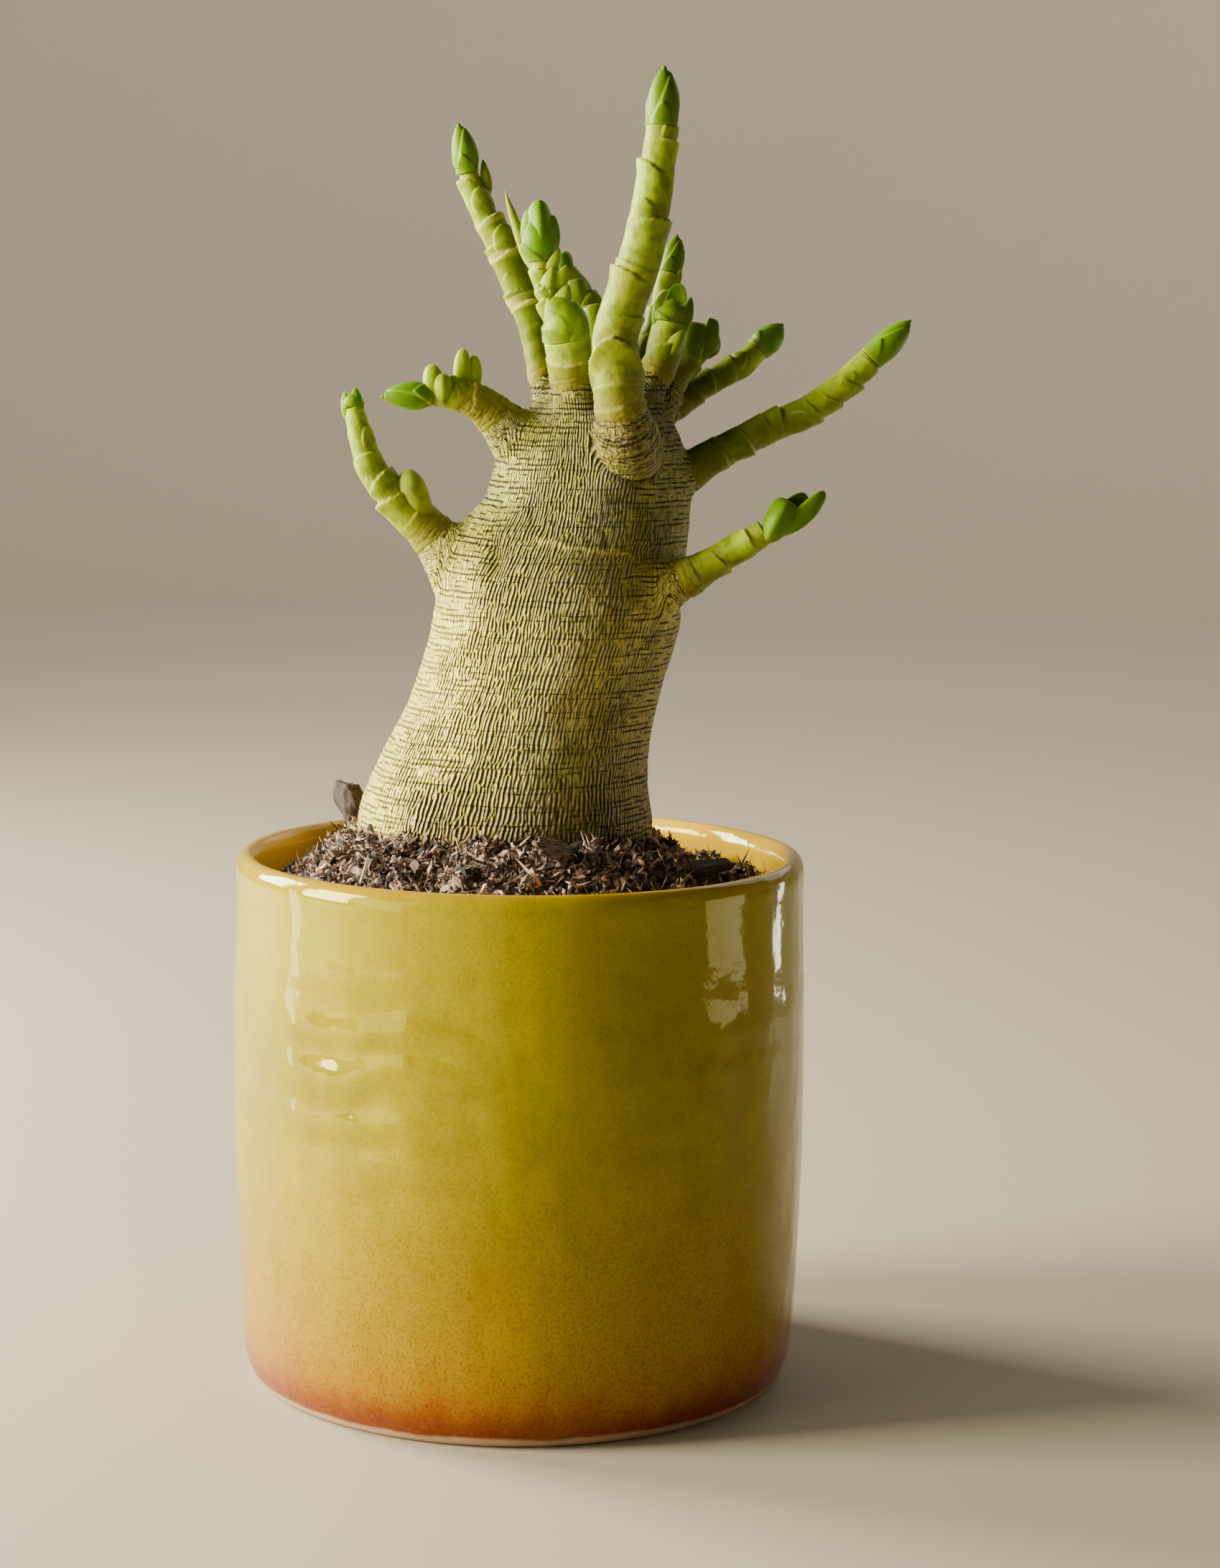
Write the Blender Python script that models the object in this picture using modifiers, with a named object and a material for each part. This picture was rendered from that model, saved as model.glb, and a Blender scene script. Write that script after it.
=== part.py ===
"""Potted desert rose: a young caudex plant with leaf buds, in potting mix, in a glazed cylinder pot.

Metres, +Z up. The origin is the centre of the pot's flat base, and the front of the plant faces -Y.
Every shoot grows from one path of (x, y, z, radius) points. The part of the path before its joint is a
collar of the caudex, the part after it is the green shoot, and a bud of leaves closes its end.
"""

import math

import bmesh
import bpy
from mathutils import Euler, Matrix, Vector, noise

# Clearance between neighbouring solids.
GAP = 0.0003

# The pot: (radius, height) points down its outer side, a round lip, and the cavity that the mix fills.
POT_HEIGHT = 0.0838
POT_WALL = 0.0036
POT_FLOOR = 0.005
POT_SEGMENTS = 48
LIP_RADIUS = POT_WALL / 2
FOOT_RADIUS = 0.0412
OUTER_WALL = [(0.0449, 0.076), (0.0452, 0.062), (0.0452, 0.043), (0.0448, 0.022), (0.0441, 0.008)]
FOOT_BEVEL = [(0.0434, 0.0036), (0.0426, 0.0016), (0.0418, 0.0005)]
LIP_CENTRE = (OUTER_WALL[0][0] - LIP_RADIUS, POT_HEIGHT - LIP_RADIUS)
LIP_STEP = 30
CAVITY_RADIUS = LIP_CENTRE[0] - LIP_RADIUS
CAVITY_WALL = [(CAVITY_RADIUS - 0.0006, 0.0200), (0.0372, POT_FLOOR + 0.003)]
CAVITY_FLOOR_RADIUS = 0.0332

# The potting mix: its height at the wall, the mound round the trunk, and its lumps and crumbs.
SOIL_CLEARANCE = 0.00045
HOLE_CLEARANCE = 0.0004
SOIL_HEADROOM = 0.018
SOIL_EDGE_Z = 0.0795
SOIL_MOUND = 0.0076
SOIL_MOUND_CENTRE = (-0.004, -0.005)
SOIL_MOUND_RADIUS = 0.036
SOIL_MOUND_POWER = 4.0
SOIL_CELLS = 27
LUMP_SIZE = 0.0105
LUMP_HEIGHT = 0.0011
CRUMB_SIZE = 0.0052
CRUMB_HEIGHT = 0.0030

# The caudex: (x, y, z, radius) points from the buried tip up to the crown, and the wrinkles of its bark.
CAUDEX_VOXEL = 0.0009
CAUDEX_SIDES = 14
COLLAR_SIDES = 8
SPINE_STEP = 0.003
FILLET_ROUNDS = 9
CAUDEX_TRIANGLES = 3900
CAUDEX_SPINE = [
    (0.0000, 0.0020, 0.0500, 0.0030),
    (-0.0005, 0.0020, 0.0560, 0.0095),
    (-0.0010, 0.0015, 0.0660, 0.0180),
    (-0.0020, 0.0010, 0.0760, 0.0228),
    (-0.0025, 0.0005, 0.0845, 0.0236),
    (-0.0012, 0.0000, 0.0924, 0.0223),
    (0.0004, 0.0000, 0.1002, 0.0200),
    (0.0023, 0.0000, 0.1085, 0.0187),
    (0.0041, 0.0000, 0.1155, 0.0188),
    (0.0056, 0.0000, 0.1215, 0.0191),
    (0.0068, 0.0000, 0.1270, 0.0186),
    (0.0092, 0.0005, 0.1335, 0.0166),
    (0.0103, 0.0010, 0.1400, 0.0157),
    (0.0108, 0.0015, 0.1460, 0.0145),
    (0.0108, 0.0020, 0.1510, 0.0122),
    (0.0106, 0.0022, 0.1550, 0.0085),
]
FOLD_START_Z = 0.079
RIDGE_HEIGHT = 0.0007
RIDGE_WIDTH = 0.005
RIDGE_LENGTH = 0.016
CREASE_DEPTH = 0.0002
CREASE_LENGTH = 0.022
CREASE_SPACING = 0.0083
CREASE_EDGE = 0.2

# How quickly a leaf narrows to its tip.
BLUNT = 0.42
POINTED = 0.80

# Each shoot: the index of its joint in path, its path, the leaf scars by distance along it, the bud at its
# end, a bent side growth, and side leaves of (foot, direction, length, width, tip). Turns are in degrees.
SHOOTS = {
    "left_low": {
        "joint": 2,
        "path": [
            (-0.0060, -0.0010, 0.1235, 0.0080),
            (-0.0112, -0.0020, 0.1300, 0.0050),
            (-0.0148, -0.0025, 0.1338, 0.0035),
            (-0.0182, -0.0030, 0.1372, 0.0033),
            (-0.0216, -0.0035, 0.1408, 0.0027),
            (-0.0236, -0.0035, 0.1436, 0.0024),
            (-0.0250, -0.0030, 0.1475, 0.0021),
            (-0.0257, -0.0025, 0.1502, 0.0019),
        ],
        "scars": [0.0055, 0.0095, 0.0130, 0.0170],
        "bud": {"leaves": 2, "length": 0.0050, "width": 0.0032, "open": 5, "turn": 90, "tip": BLUNT},
        "knuckle": [
            (-0.0160, -0.0030, 0.1368, 0.0026),
            (-0.0170, -0.0034, 0.1405, 0.0024),
            (-0.0180, -0.0036, 0.1430, 0.0012),
        ],
    },
    "left_high": {
        "joint": 2,
        "path": [
            (0.0035, -0.0010, 0.1430, 0.0075),
            (-0.0015, -0.0030, 0.1485, 0.0046),
            (-0.0055, -0.0045, 0.1524, 0.0031),
            (-0.0084, -0.0055, 0.1542, 0.0027),
            (-0.0110, -0.0060, 0.1548, 0.0023),
            (-0.0142, -0.0065, 0.1547, 0.0019),
        ],
        "scars": [0.0030, 0.0062],
        "bud": {"leaves": 2, "length": 0.0080, "width": 0.0042, "open": 0, "turn": 90, "tip": POINTED},
        "leaves": [
            ((-0.0123, -0.0062, 0.1549), (-0.27, -0.1, 1.0), 0.0058, 0.0029, BLUNT),
            ((-0.0118, -0.0066, 0.1551), (0.00, -0.1, 1.0), 0.0048, 0.0026, BLUNT),
            ((-0.0088, -0.0036, 0.1552), (-0.16, 0.2, 1.0), 0.0072, 0.0028, BLUNT),
            ((-0.0081, -0.0034, 0.1550), (0.10, 0.2, 1.0), 0.0062, 0.0024, BLUNT),
        ],
    },
    "back_left_tall": {
        "joint": 2,
        "path": [
            (0.0070, 0.0040, 0.1480, 0.0048),
            (0.0040, 0.0065, 0.1540, 0.0030),
            (0.0026, 0.0078, 0.1585, 0.0024),
            (0.0016, 0.0086, 0.1628, 0.0021),
            (0.0006, 0.0092, 0.1672, 0.0025),
            (-0.0016, 0.0098, 0.1724, 0.0026),
            (-0.0036, 0.0102, 0.1775, 0.0029),
            (-0.0061, 0.0105, 0.1818, 0.0022),
            (-0.0077, 0.0106, 0.1850, 0.0021),
            (-0.0088, 0.0106, 0.1877, 0.0018),
            (-0.0091, 0.0106, 0.1889, 0.0018),
        ],
        "scars": [0.0060, 0.0092, 0.0150, 0.0190, 0.0235],
        "bud": {"leaves": 3, "length": 0.0078, "width": 0.0042, "open": 0, "turn": 30, "tip": POINTED},
        "leaves": [((-0.0064, 0.0116, 0.1846), (-0.16, 0.14, 1.0), 0.0054, 0.0020, POINTED)],
    },
    "crown": {
        "joint": 2,
        "path": [
            (0.0085, 0.0020, 0.1490, 0.0050),
            (0.0076, 0.0022, 0.1560, 0.0032),
            (0.0068, 0.0024, 0.1605, 0.0024),
            (0.0053, 0.0025, 0.1660, 0.0022),
            (0.0036, 0.0026, 0.1700, 0.0022),
            (0.0027, 0.0026, 0.1731, 0.0022),
            (0.0024, 0.0026, 0.1753, 0.0022),
        ],
        "scars": [0.0035, 0.0070, 0.0105],
        "bud": {"leaves": 5, "length": 0.0092, "width": 0.0053, "open": 2, "turn": 10, "tip": BLUNT},
        "knuckle": [
            (0.0026, 0.0034, 0.1728, 0.0010),
            (-0.0006, 0.0052, 0.1752, 0.0010),
            (-0.0019, 0.0058, 0.1790, 0.0011),
            (-0.0028, 0.0062, 0.1830, 0.0007),
            (-0.0036, 0.0065, 0.1864, 0.0002),
        ],
        "leaves": [
            ((0.0048, 0.0018, 0.1680), (-0.30, -0.5, 1.0), 0.0044, 0.0026, BLUNT),
            ((0.0050, 0.0030, 0.1700), (0.45, -0.2, 1.0), 0.0040, 0.0022, BLUNT),
        ],
    },
    "back_centre": {
        "joint": 2,
        "path": [
            (0.0115, 0.0060, 0.1490, 0.0050),
            (0.0120, 0.0100, 0.1555, 0.0032),
            (0.0120, 0.0118, 0.1600, 0.0025),
            (0.0108, 0.0126, 0.1660, 0.0023),
            (0.0084, 0.0130, 0.1708, 0.0024),
            (0.0062, 0.0132, 0.1738, 0.0021),
        ],
        "scars": [0.0035, 0.0070, 0.0100],
        "bud": {"leaves": 3, "length": 0.0044, "width": 0.0032, "open": 6, "turn": 0, "tip": BLUNT},
        "leaves": [
            ((0.0112, 0.0112, 0.1630), (-0.45, -0.5, 1.0), 0.0050, 0.0030, BLUNT),
            ((0.0080, 0.0120, 0.1690), (-0.2, -0.8, 0.9), 0.0042, 0.0028, BLUNT),
        ],
    },
    "front_stub": {
        "joint": 2,
        "path": [
            (0.0095, -0.0030, 0.1480, 0.0060),
            (0.0080, -0.0068, 0.1545, 0.0040),
            (0.0070, -0.0080, 0.1590, 0.0034),
            (0.0064, -0.0086, 0.1625, 0.0033),
            (0.0055, -0.0090, 0.1650, 0.0031),
        ],
        "scars": [0.0040],
        "bud": {"leaves": 2, "length": 0.0052, "width": 0.0058, "open": 0, "turn": -60, "tip": POINTED},
    },
    "front_tall": {
        "joint": 4,
        "path": [
            (0.0140, -0.0020, 0.1400, 0.0080),
            (0.0154, -0.0095, 0.1430, 0.0068),
            (0.0153, -0.0140, 0.1470, 0.0057),
            (0.0147, -0.0164, 0.1506, 0.0047),
            (0.0141, -0.0174, 0.1545, 0.0039),
            (0.0137, -0.0176, 0.1590, 0.0037),
            (0.0134, -0.0178, 0.1634, 0.0037),
            (0.0143, -0.0180, 0.1675, 0.0034),
            (0.0161, -0.0184, 0.1729, 0.0035),
            (0.0176, -0.0186, 0.1781, 0.0034),
            (0.0185, -0.0186, 0.1832, 0.0031),
            (0.0192, -0.0184, 0.1882, 0.0029),
            (0.0198, -0.0182, 0.1927, 0.0026),
            (0.0199, -0.0181, 0.1948, 0.0025),
        ],
        "scars": [0.0090, 0.0225, 0.0305, 0.0360, 0.0390],
        "bud": {"leaves": 3, "length": 0.0090, "width": 0.0050, "open": 0, "turn": 100, "tip": POINTED},
        "leaves": [((0.0178, -0.0192, 0.1830), (-0.10, -0.06, 1.0), 0.0078, 0.0034, POINTED)],
    },
    "behind_tall": {
        "joint": 2,
        "path": [
            (0.0130, 0.0060, 0.1480, 0.0052),
            (0.0165, 0.0120, 0.1550, 0.0032),
            (0.0185, 0.0148, 0.1600, 0.0024),
            (0.0208, 0.0165, 0.1655, 0.0020),
            (0.0222, 0.0175, 0.1705, 0.0021),
            (0.0229, 0.0180, 0.1740, 0.0020),
        ],
        "scars": [0.0040, 0.0080, 0.0120],
        "bud": {"leaves": 2, "length": 0.0066, "width": 0.0038, "open": 1, "turn": 60, "tip": POINTED},
        "leaves": [((0.0224, 0.0168, 0.1700), (0.1, -0.4, 1.0), 0.0048, 0.0028, BLUNT)],
    },
    "beak": {
        "joint": 2,
        "path": [
            (0.0140, 0.0010, 0.1480, 0.0060),
            (0.0186, 0.0022, 0.1552, 0.0036),
            (0.0208, 0.0028, 0.1594, 0.0028),
            (0.0218, 0.0030, 0.1625, 0.0027),
            (0.0224, 0.0032, 0.1645, 0.0026),
        ],
        "scars": [0.0026],
        "bud": {"leaves": 2, "length": 0.0074, "width": 0.0046, "open": 10, "turn": -100, "tip": BLUNT},
        "leaves": [((0.0222, 0.0014, 0.1615), (0.30, -0.3, 1.0), 0.0044, 0.0036, BLUNT)],
    },
    "right_stub": {
        "joint": 2,
        "path": [
            (0.0160, 0.0050, 0.1470, 0.0060),
            (0.0206, 0.0092, 0.1540, 0.0038),
            (0.0232, 0.0106, 0.1578, 0.0029),
            (0.0256, 0.0112, 0.1606, 0.0027),
            (0.0272, 0.0114, 0.1622, 0.0025),
        ],
        "scars": [0.0034],
        "bud": {"leaves": 2, "length": 0.0050, "width": 0.0042, "open": 8, "turn": 90, "tip": BLUNT},
    },
    "right_mid": {
        "joint": 2,
        "path": [
            (0.0150, 0.0070, 0.1450, 0.0058),
            (0.0208, 0.0122, 0.1510, 0.0032),
            (0.0245, 0.0136, 0.1536, 0.0024),
            (0.0276, 0.0144, 0.1557, 0.0021),
            (0.0315, 0.0150, 0.1580, 0.0021),
            (0.0344, 0.0155, 0.1595, 0.0022),
            (0.0360, 0.0158, 0.1606, 0.0019),
        ],
        "scars": [0.0036, 0.0070, 0.0105],
        "bud": {"leaves": 2, "length": 0.0068, "width": 0.0048, "open": 0, "turn": 40, "tip": POINTED},
    },
    "right_long": {
        "joint": 2,
        "path": [
            (0.0160, 0.0000, 0.1360, 0.0080),
            (0.0220, 0.0010, 0.1410, 0.0046),
            (0.0262, 0.0020, 0.1436, 0.0032),
            (0.0306, 0.0024, 0.1462, 0.0027),
            (0.0384, 0.0030, 0.1502, 0.0026),
            (0.0440, 0.0030, 0.1526, 0.0026),
            (0.0490, 0.0030, 0.1562, 0.0025),
            (0.0518, 0.0030, 0.1588, 0.0024),
            (0.0538, 0.0030, 0.1608, 0.0022),
        ],
        "scars": [0.0062, 0.0098, 0.0135, 0.0200, 0.0245, 0.0290],
        "bud": {"leaves": 2, "length": 0.0088, "width": 0.0048, "open": 0, "turn": 60, "tip": POINTED},
    },
    "right_low": {
        "joint": 3,
        "path": [
            (0.0120, -0.0060, 0.1190, 0.0085),
            (0.0182, -0.0088, 0.1238, 0.0056),
            (0.0222, -0.0098, 0.1262, 0.0040),
            (0.0258, -0.0106, 0.1280, 0.0030),
            (0.0292, -0.0111, 0.1300, 0.0025),
            (0.0324, -0.0115, 0.1320, 0.0024),
            (0.0352, -0.0118, 0.1337, 0.0022),
            (0.0367, -0.0120, 0.1348, 0.0020),
        ],
        "scars": [0.0045, 0.0088],
        "bud": {"leaves": 2, "length": 0.0098, "width": 0.0044, "open": 2, "turn": 100, "tip": BLUNT},
    },
}
PATH_STEP = 0.0022
FINE_STEP = 0.0008
KNUCKLE_STEP = 0.0012
SCAR_SWELL = 1.10
SCAR_WAIST = 0.94
SCAR_LENGTH = 0.0006
STRAIGHT_FOOT = 0.0008
JOINT_EXTRA = 0.0015
JOINT_CUT = 0.0036
JOINT_CLEAR = 1.35
CUP_LENGTH = 0.0014
CUP_WIDTHS = (0.96, 0.9, 0.4)
LEAF_SIDES = 8
LEAF_RINGS = 4
LEAF_FOOT = 0.42
LEAF_BULGE = 0.80
LEAF_HOLLOW = 0.35
BUD_SINK = 0.0002
BUD_REACH = 0.12
BUD_SHORTER = 0.06
GOLDEN_ANGLE = math.radians(137.5)

# Each chip: its centre, its half sizes and its turns in degrees about X, Y and Z.
CHIP_TEAR = 0.3
BARK_CHIPS = {
    "bark_chip_front": ((0.0050, -0.0292, 0.0882), (0.0062, 0.0024, 0.0011), (50, 12, 62)),
    "bark_chip_left": ((-0.0272, 0.0200, 0.0872), (0.0052, 0.0036, 0.0022), (10, 60, 40)),
    "bark_chip_right": ((0.0290, -0.0130, 0.0838), (0.0060, 0.0026, 0.0011), (8, -14, 20)),
}


def start_clean():
    """Removes the startup scene's objects and makes the collections for the parts and the cutters."""
    for obj in list(bpy.data.objects):
        bpy.data.objects.remove(obj)
    made = []
    for name in ("potted_desert_rose", "cutters"):
        collection = bpy.data.collections.new(name)
        bpy.context.scene.collection.children.link(collection)
        made.append(collection)
    made[1].hide_render = True
    return made


def material(name, colour, roughness):
    made = bpy.data.materials.new(name)
    made.use_nodes = True
    shader = made.node_tree.nodes["Principled BSDF"]
    shader.inputs["Base Color"].default_value = (*colour, 1.0)
    shader.inputs["Roughness"].default_value = roughness
    shader.inputs["Metallic"].default_value = 0.0
    return made


def add_object(name, data, collection):
    obj = bpy.data.objects.new(name, data)
    collection.objects.link(obj)
    return obj


def evaluated_mesh(obj):
    """The object's mesh with its modifiers, its curve caps welded, in the object's own frame."""
    bpy.context.view_layer.update()
    graph = bpy.context.evaluated_depsgraph_get()
    mesh = bpy.data.meshes.new_from_object(obj.evaluated_get(graph))
    shape = bmesh.new()
    shape.from_mesh(mesh)
    bmesh.ops.remove_doubles(shape, verts=shape.verts, dist=1e-6)
    bmesh.ops.recalc_face_normals(shape, faces=shape.faces)
    shape.to_mesh(mesh)
    shape.free()
    return mesh


def bake(obj):
    """Swaps the object's mesh for its evaluated one and drops the modifiers."""
    mesh = evaluated_mesh(obj)
    obj.modifiers.clear()
    obj.data = mesh


def boolean(obj, operation, others, name):
    """One Boolean with a collection of objects, which are then removed."""
    group = bpy.data.collections.new(name)
    for other in others:
        group.objects.link(other)
    cut = obj.modifiers.new(name, "BOOLEAN")
    cut.operation = operation
    cut.operand_type = "COLLECTION"
    cut.collection = group
    cut.solver = "EXACT"
    bake(obj)
    for other in others:
        bpy.data.objects.remove(other)
    bpy.data.collections.remove(group)


def smooth_between(points, step):
    """Samples of a smooth curve through the points, with every number of a point carried along."""
    rows = [Vector(p) for p in points]
    rows = [2 * rows[0] - rows[1], *rows, 2 * rows[-1] - rows[-2]]
    out = []
    for a, b, c, d in zip(rows, rows[1:], rows[2:], rows[3:]):
        count = max(1, round(span(b, c) / step))
        for i in range(count):
            t = i / count
            bend = (2 * a - 5 * b + 4 * c - d) * t**2 + (3 * b - a - 3 * c + d) * t**3
            out.append(0.5 * (2 * b + (c - a) * t + bend))
    return [*out, rows[-2]]


def tube(name, samples, collection, sides=2):
    """A closed tube along samples of (x, y, z, radius), as a welded mesh."""
    curve = bpy.data.curves.new(name, "CURVE")
    curve.dimensions = "3D"
    curve.bevel_depth = 1.0
    curve.bevel_resolution = sides
    curve.use_fill_caps = True
    line = curve.splines.new("POLY")
    line.points.add(len(samples) - 1)
    for point, (x, y, z, radius) in zip(line.points, samples):
        point.co = (x, y, z, 1.0)
        point.radius = radius
    drawn = add_object(name, curve, collection)
    mesh = evaluated_mesh(drawn)
    bpy.data.objects.remove(drawn)
    bpy.data.curves.remove(curve)
    return add_object(name, mesh, collection)


def facing(origin, way, turn=0.0):
    """A matrix at origin with +Z along way and -Y as near the front as it can be, then turned about way."""
    up = Vector(way).normalized()
    back = (Vector((0.0, 1.0, 0.0)) - up * up.y).normalized()
    basis = Matrix((back.cross(up), back, up)).transposed().to_4x4()
    return Matrix.Translation(Vector(origin)) @ basis @ Matrix.Rotation(turn, 4, "Z")


def leaf(name, length, width, tip, lean, matrix, collection):
    """A thick leaf standing on matrix: an almond outline, bulging outwards (-Y), nearly flat inside."""
    shape = bmesh.new()
    bmesh.ops.create_uvsphere(shape, u_segments=LEAF_SIDES, v_segments=LEAF_RINGS, radius=0.5)
    widest = LEAF_FOOT / (LEAF_FOOT + tip)
    most = widest**LEAF_FOOT * (1.0 - widest) ** tip
    for vert in shape.verts:
        up = min(1.0, max(0.0, vert.co.z + 0.5))
        around = math.atan2(vert.co.y, vert.co.x)
        half = 0.5 * width * up**LEAF_FOOT * (1.0 - up) ** tip / most
        depth = LEAF_BULGE if math.sin(around) < 0.0 else LEAF_HOLLOW
        vert.co.x = half * math.cos(around)
        vert.co.y = half * math.sin(around) * depth - lean * length * up
        vert.co.z = length * up
    bmesh.ops.remove_doubles(shape, verts=shape.verts, dist=1e-6)
    bmesh.ops.transform(shape, matrix=matrix, verts=shape.verts)
    mesh = bpy.data.meshes.new(name)
    shape.to_mesh(mesh)
    shape.free()
    return add_object(name, mesh, collection)


def span(a, b):
    """The distance between two samples of (x, y, z, radius)."""
    return (Vector(b[:3]) - Vector(a[:3])).length


def along(samples, distance):
    """The sample at a distance along the path."""
    walked = 0.0
    for a, b in zip(samples, samples[1:]):
        step = span(a, b)
        if walked + step >= distance:
            return a.lerp(b, (distance - walked) / step)
        walked += step
    return samples[-1].copy()


def scarred(samples, scars):
    """The path with a swollen ring and a waist at each leaf scar, and few samples between them."""
    total = sum(span(a, b) for a, b in zip(samples, samples[1:]))
    marks = {0.0: 1.0, STRAIGHT_FOOT: 1.0, total: 1.0}
    for scar in scars:
        marks[scar - SCAR_LENGTH] = 1.0
        marks[scar] = SCAR_SWELL
        marks[scar + SCAR_LENGTH] = SCAR_WAIST
    steps = max(2, round(total / PATH_STEP))
    for i in range(1, steps):
        place = total * i / steps
        if min(abs(place - mark) for mark in marks) > SCAR_LENGTH:
            marks[place] = 1.0
    out = []
    for place in sorted(marks):
        if 0.0 <= place <= total:
            sample = along(samples, place)
            sample[3] *= marks[place]
            out.append(sample)
    return out


def joint_of(shoot):
    """Where the shoot meets its collar on the caudex: the point and the shoot's direction."""
    path = shoot["path"]
    at = shoot["joint"]
    start = Vector(path[at][:3])
    return start, (Vector(path[at + 1][:3]) - Vector(path[at - 1][:3])).normalized(), path[at][3]


def folded(co):
    """How far the wrinkled bark stands out: upright ridges, broken and shifted by creases across them."""
    if co.z < FOLD_START_Z:
        return 0.0
    ridge = noise.noise(co * Vector((1 / RIDGE_WIDTH, 1 / RIDGE_WIDTH, 1 / RIDGE_LENGTH)))
    crease = abs(noise.noise(co * Vector((1 / CREASE_LENGTH, 1 / CREASE_LENGTH, 1 / CREASE_SPACING))))
    return RIDGE_HEIGHT * ridge - CREASE_DEPTH * (1.0 - min(1.0, crease / CREASE_EDGE))


def make_caudex(parts, cutters, finish):
    """The trunk, its buried root and a collar under every shoot, fused, then cut flat at the joints."""
    caudex = tube("caudex", smooth_between(CAUDEX_SPINE, SPINE_STEP), parts, sides=CAUDEX_SIDES)
    collars = []
    for name, shoot in SHOOTS.items():
        start, aim, radius = joint_of(shoot)
        path = [*shoot["path"][: shoot["joint"] + 1], (*(start + aim * JOINT_EXTRA), radius)]
        collars.append(tube("collar_" + name, smooth_between(path, FINE_STEP), parts, sides=COLLAR_SIDES))
    shape = bmesh.new()
    for piece in [caudex, *collars]:
        shape.from_mesh(piece.data)
    shape.to_mesh(caudex.data)
    shape.free()
    for collar in collars:
        bpy.data.objects.remove(collar)
    skin = caudex.modifiers.new("fuse", "REMESH")
    skin.mode = "VOXEL"
    skin.voxel_size = CAUDEX_VOXEL
    fillet = caudex.modifiers.new("fillet", "SMOOTH")
    fillet.factor = 0.5
    fillet.iterations = FILLET_ROUNDS
    bake(caudex)
    shape = bmesh.new()
    shape.from_mesh(caudex.data)
    shape.normal_update()
    moves = [(vert, vert.normal * folded(vert.co)) for vert in shape.verts]
    for vert, move in moves:
        vert.co += move
    bmesh.ops.triangulate(shape, faces=shape.faces)
    count = len(shape.faces)
    shape.to_mesh(caudex.data)
    shape.free()
    thin = caudex.modifiers.new("thin", "DECIMATE")
    thin.ratio = CAUDEX_TRIANGLES / count
    bake(caudex)
    discs = []
    for name, shoot in SHOOTS.items():
        start, aim, radius = joint_of(shoot)
        disc = bmesh.new()
        wide = radius * JOINT_CLEAR
        bmesh.ops.create_circle(disc, cap_ends=True, segments=COLLAR_SIDES, radius=wide)
        drawn = bmesh.ops.extrude_face_region(disc, geom=list(disc.faces))["geom"]
        raised = [item for item in drawn if isinstance(item, bmesh.types.BMVert)]
        bmesh.ops.translate(disc, verts=raised, vec=(0.0, 0.0, JOINT_CUT))
        bmesh.ops.recalc_face_normals(disc, faces=disc.faces)
        bmesh.ops.transform(disc, matrix=facing(start, aim), verts=disc.verts)
        mesh = bpy.data.meshes.new("cut_" + name)
        disc.to_mesh(mesh)
        disc.free()
        discs.append(add_object("cut_" + name, mesh, cutters))
    boolean(caudex, "DIFFERENCE", discs, "joints")
    finish_smooth(caudex, finish)
    return caudex


def finish_smooth(obj, finish):
    obj.data.materials.clear()
    obj.data.materials.append(finish)
    obj.data.shade_smooth()
    obj.data.set_sharp_from_angle(angle=math.radians(50))


def make_shoot(name, shoot, parts, stem_finish, leaf_finish):
    """The green shoot with its leaf scars and side leaves, and the bud of leaves at its end."""
    start, aim, radius = joint_of(shoot)
    path = shoot["path"][shoot["joint"] :]
    foot = start + aim * GAP
    square = foot + aim * STRAIGHT_FOOT
    samples = smooth_between([(*foot, radius), (*square, radius), *path[1:]], FINE_STEP)
    marked = scarred(samples, shoot["scars"])
    stem = tube("shoot_" + name, marked, parts)
    added = []
    for i, (origin, direction, length, width, tip) in enumerate(shoot.get("leaves", [])):
        added.append(leaf(f"side_{i}", length, width, tip, 0.0, facing(origin, direction), parts))
    if "knuckle" in shoot:
        added.append(tube("knuckle", smooth_between(shoot["knuckle"], KNUCKLE_STEP), parts))
    if added:
        boolean(stem, "UNION", added, "side_leaves")
    finish_smooth(stem, stem_finish)

    end = marked[-1]
    way = (Vector(end[:3]) - Vector(marked[-2][:3])).normalized()
    bud = shoot["bud"]
    foot = Vector(end[:3]) + way * GAP
    cup = [(*(foot + way * CUP_LENGTH * i), end[3] * share) for i, share in enumerate(CUP_WIDTHS)]
    head = tube("bud_" + name, cup, parts)
    blades = []
    step = math.pi if bud["leaves"] == 2 else GOLDEN_ANGLE
    for i in range(bud["leaves"]):
        around = math.radians(bud["turn"]) + i * step
        outward = facing((0, 0, 0), way, around) @ Vector((0.0, -1.0, 0.0))
        origin = foot + way * BUD_SINK + outward * bud["width"] * BUD_REACH
        length = bud["length"] * (1.0 - BUD_SHORTER * i)
        lean = math.tan(math.radians(bud["open"]))
        stand = facing(origin, way, around)
        blades.append(leaf(f"blade_{i}", length, bud["width"], bud["tip"], lean, stand, parts))
    boolean(head, "UNION", blades, "blades")
    finish_smooth(head, leaf_finish)


def lathe(name, profile, segments, collection):
    """A turned solid from a profile of (radius, height) that runs down its outer side."""
    mesh = bpy.data.meshes.new(name)
    mesh.from_pydata([(r, 0.0, z) for r, z in profile], [(i, i + 1) for i in range(len(profile) - 1)], [])
    turned = add_object(name, mesh, collection)
    spin = turned.modifiers.new("turn", "SCREW")
    spin.steps = segments
    spin.render_steps = segments
    spin.use_merge_vertices = True
    spin.merge_threshold = 1e-5
    bake(turned)
    return turned


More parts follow.
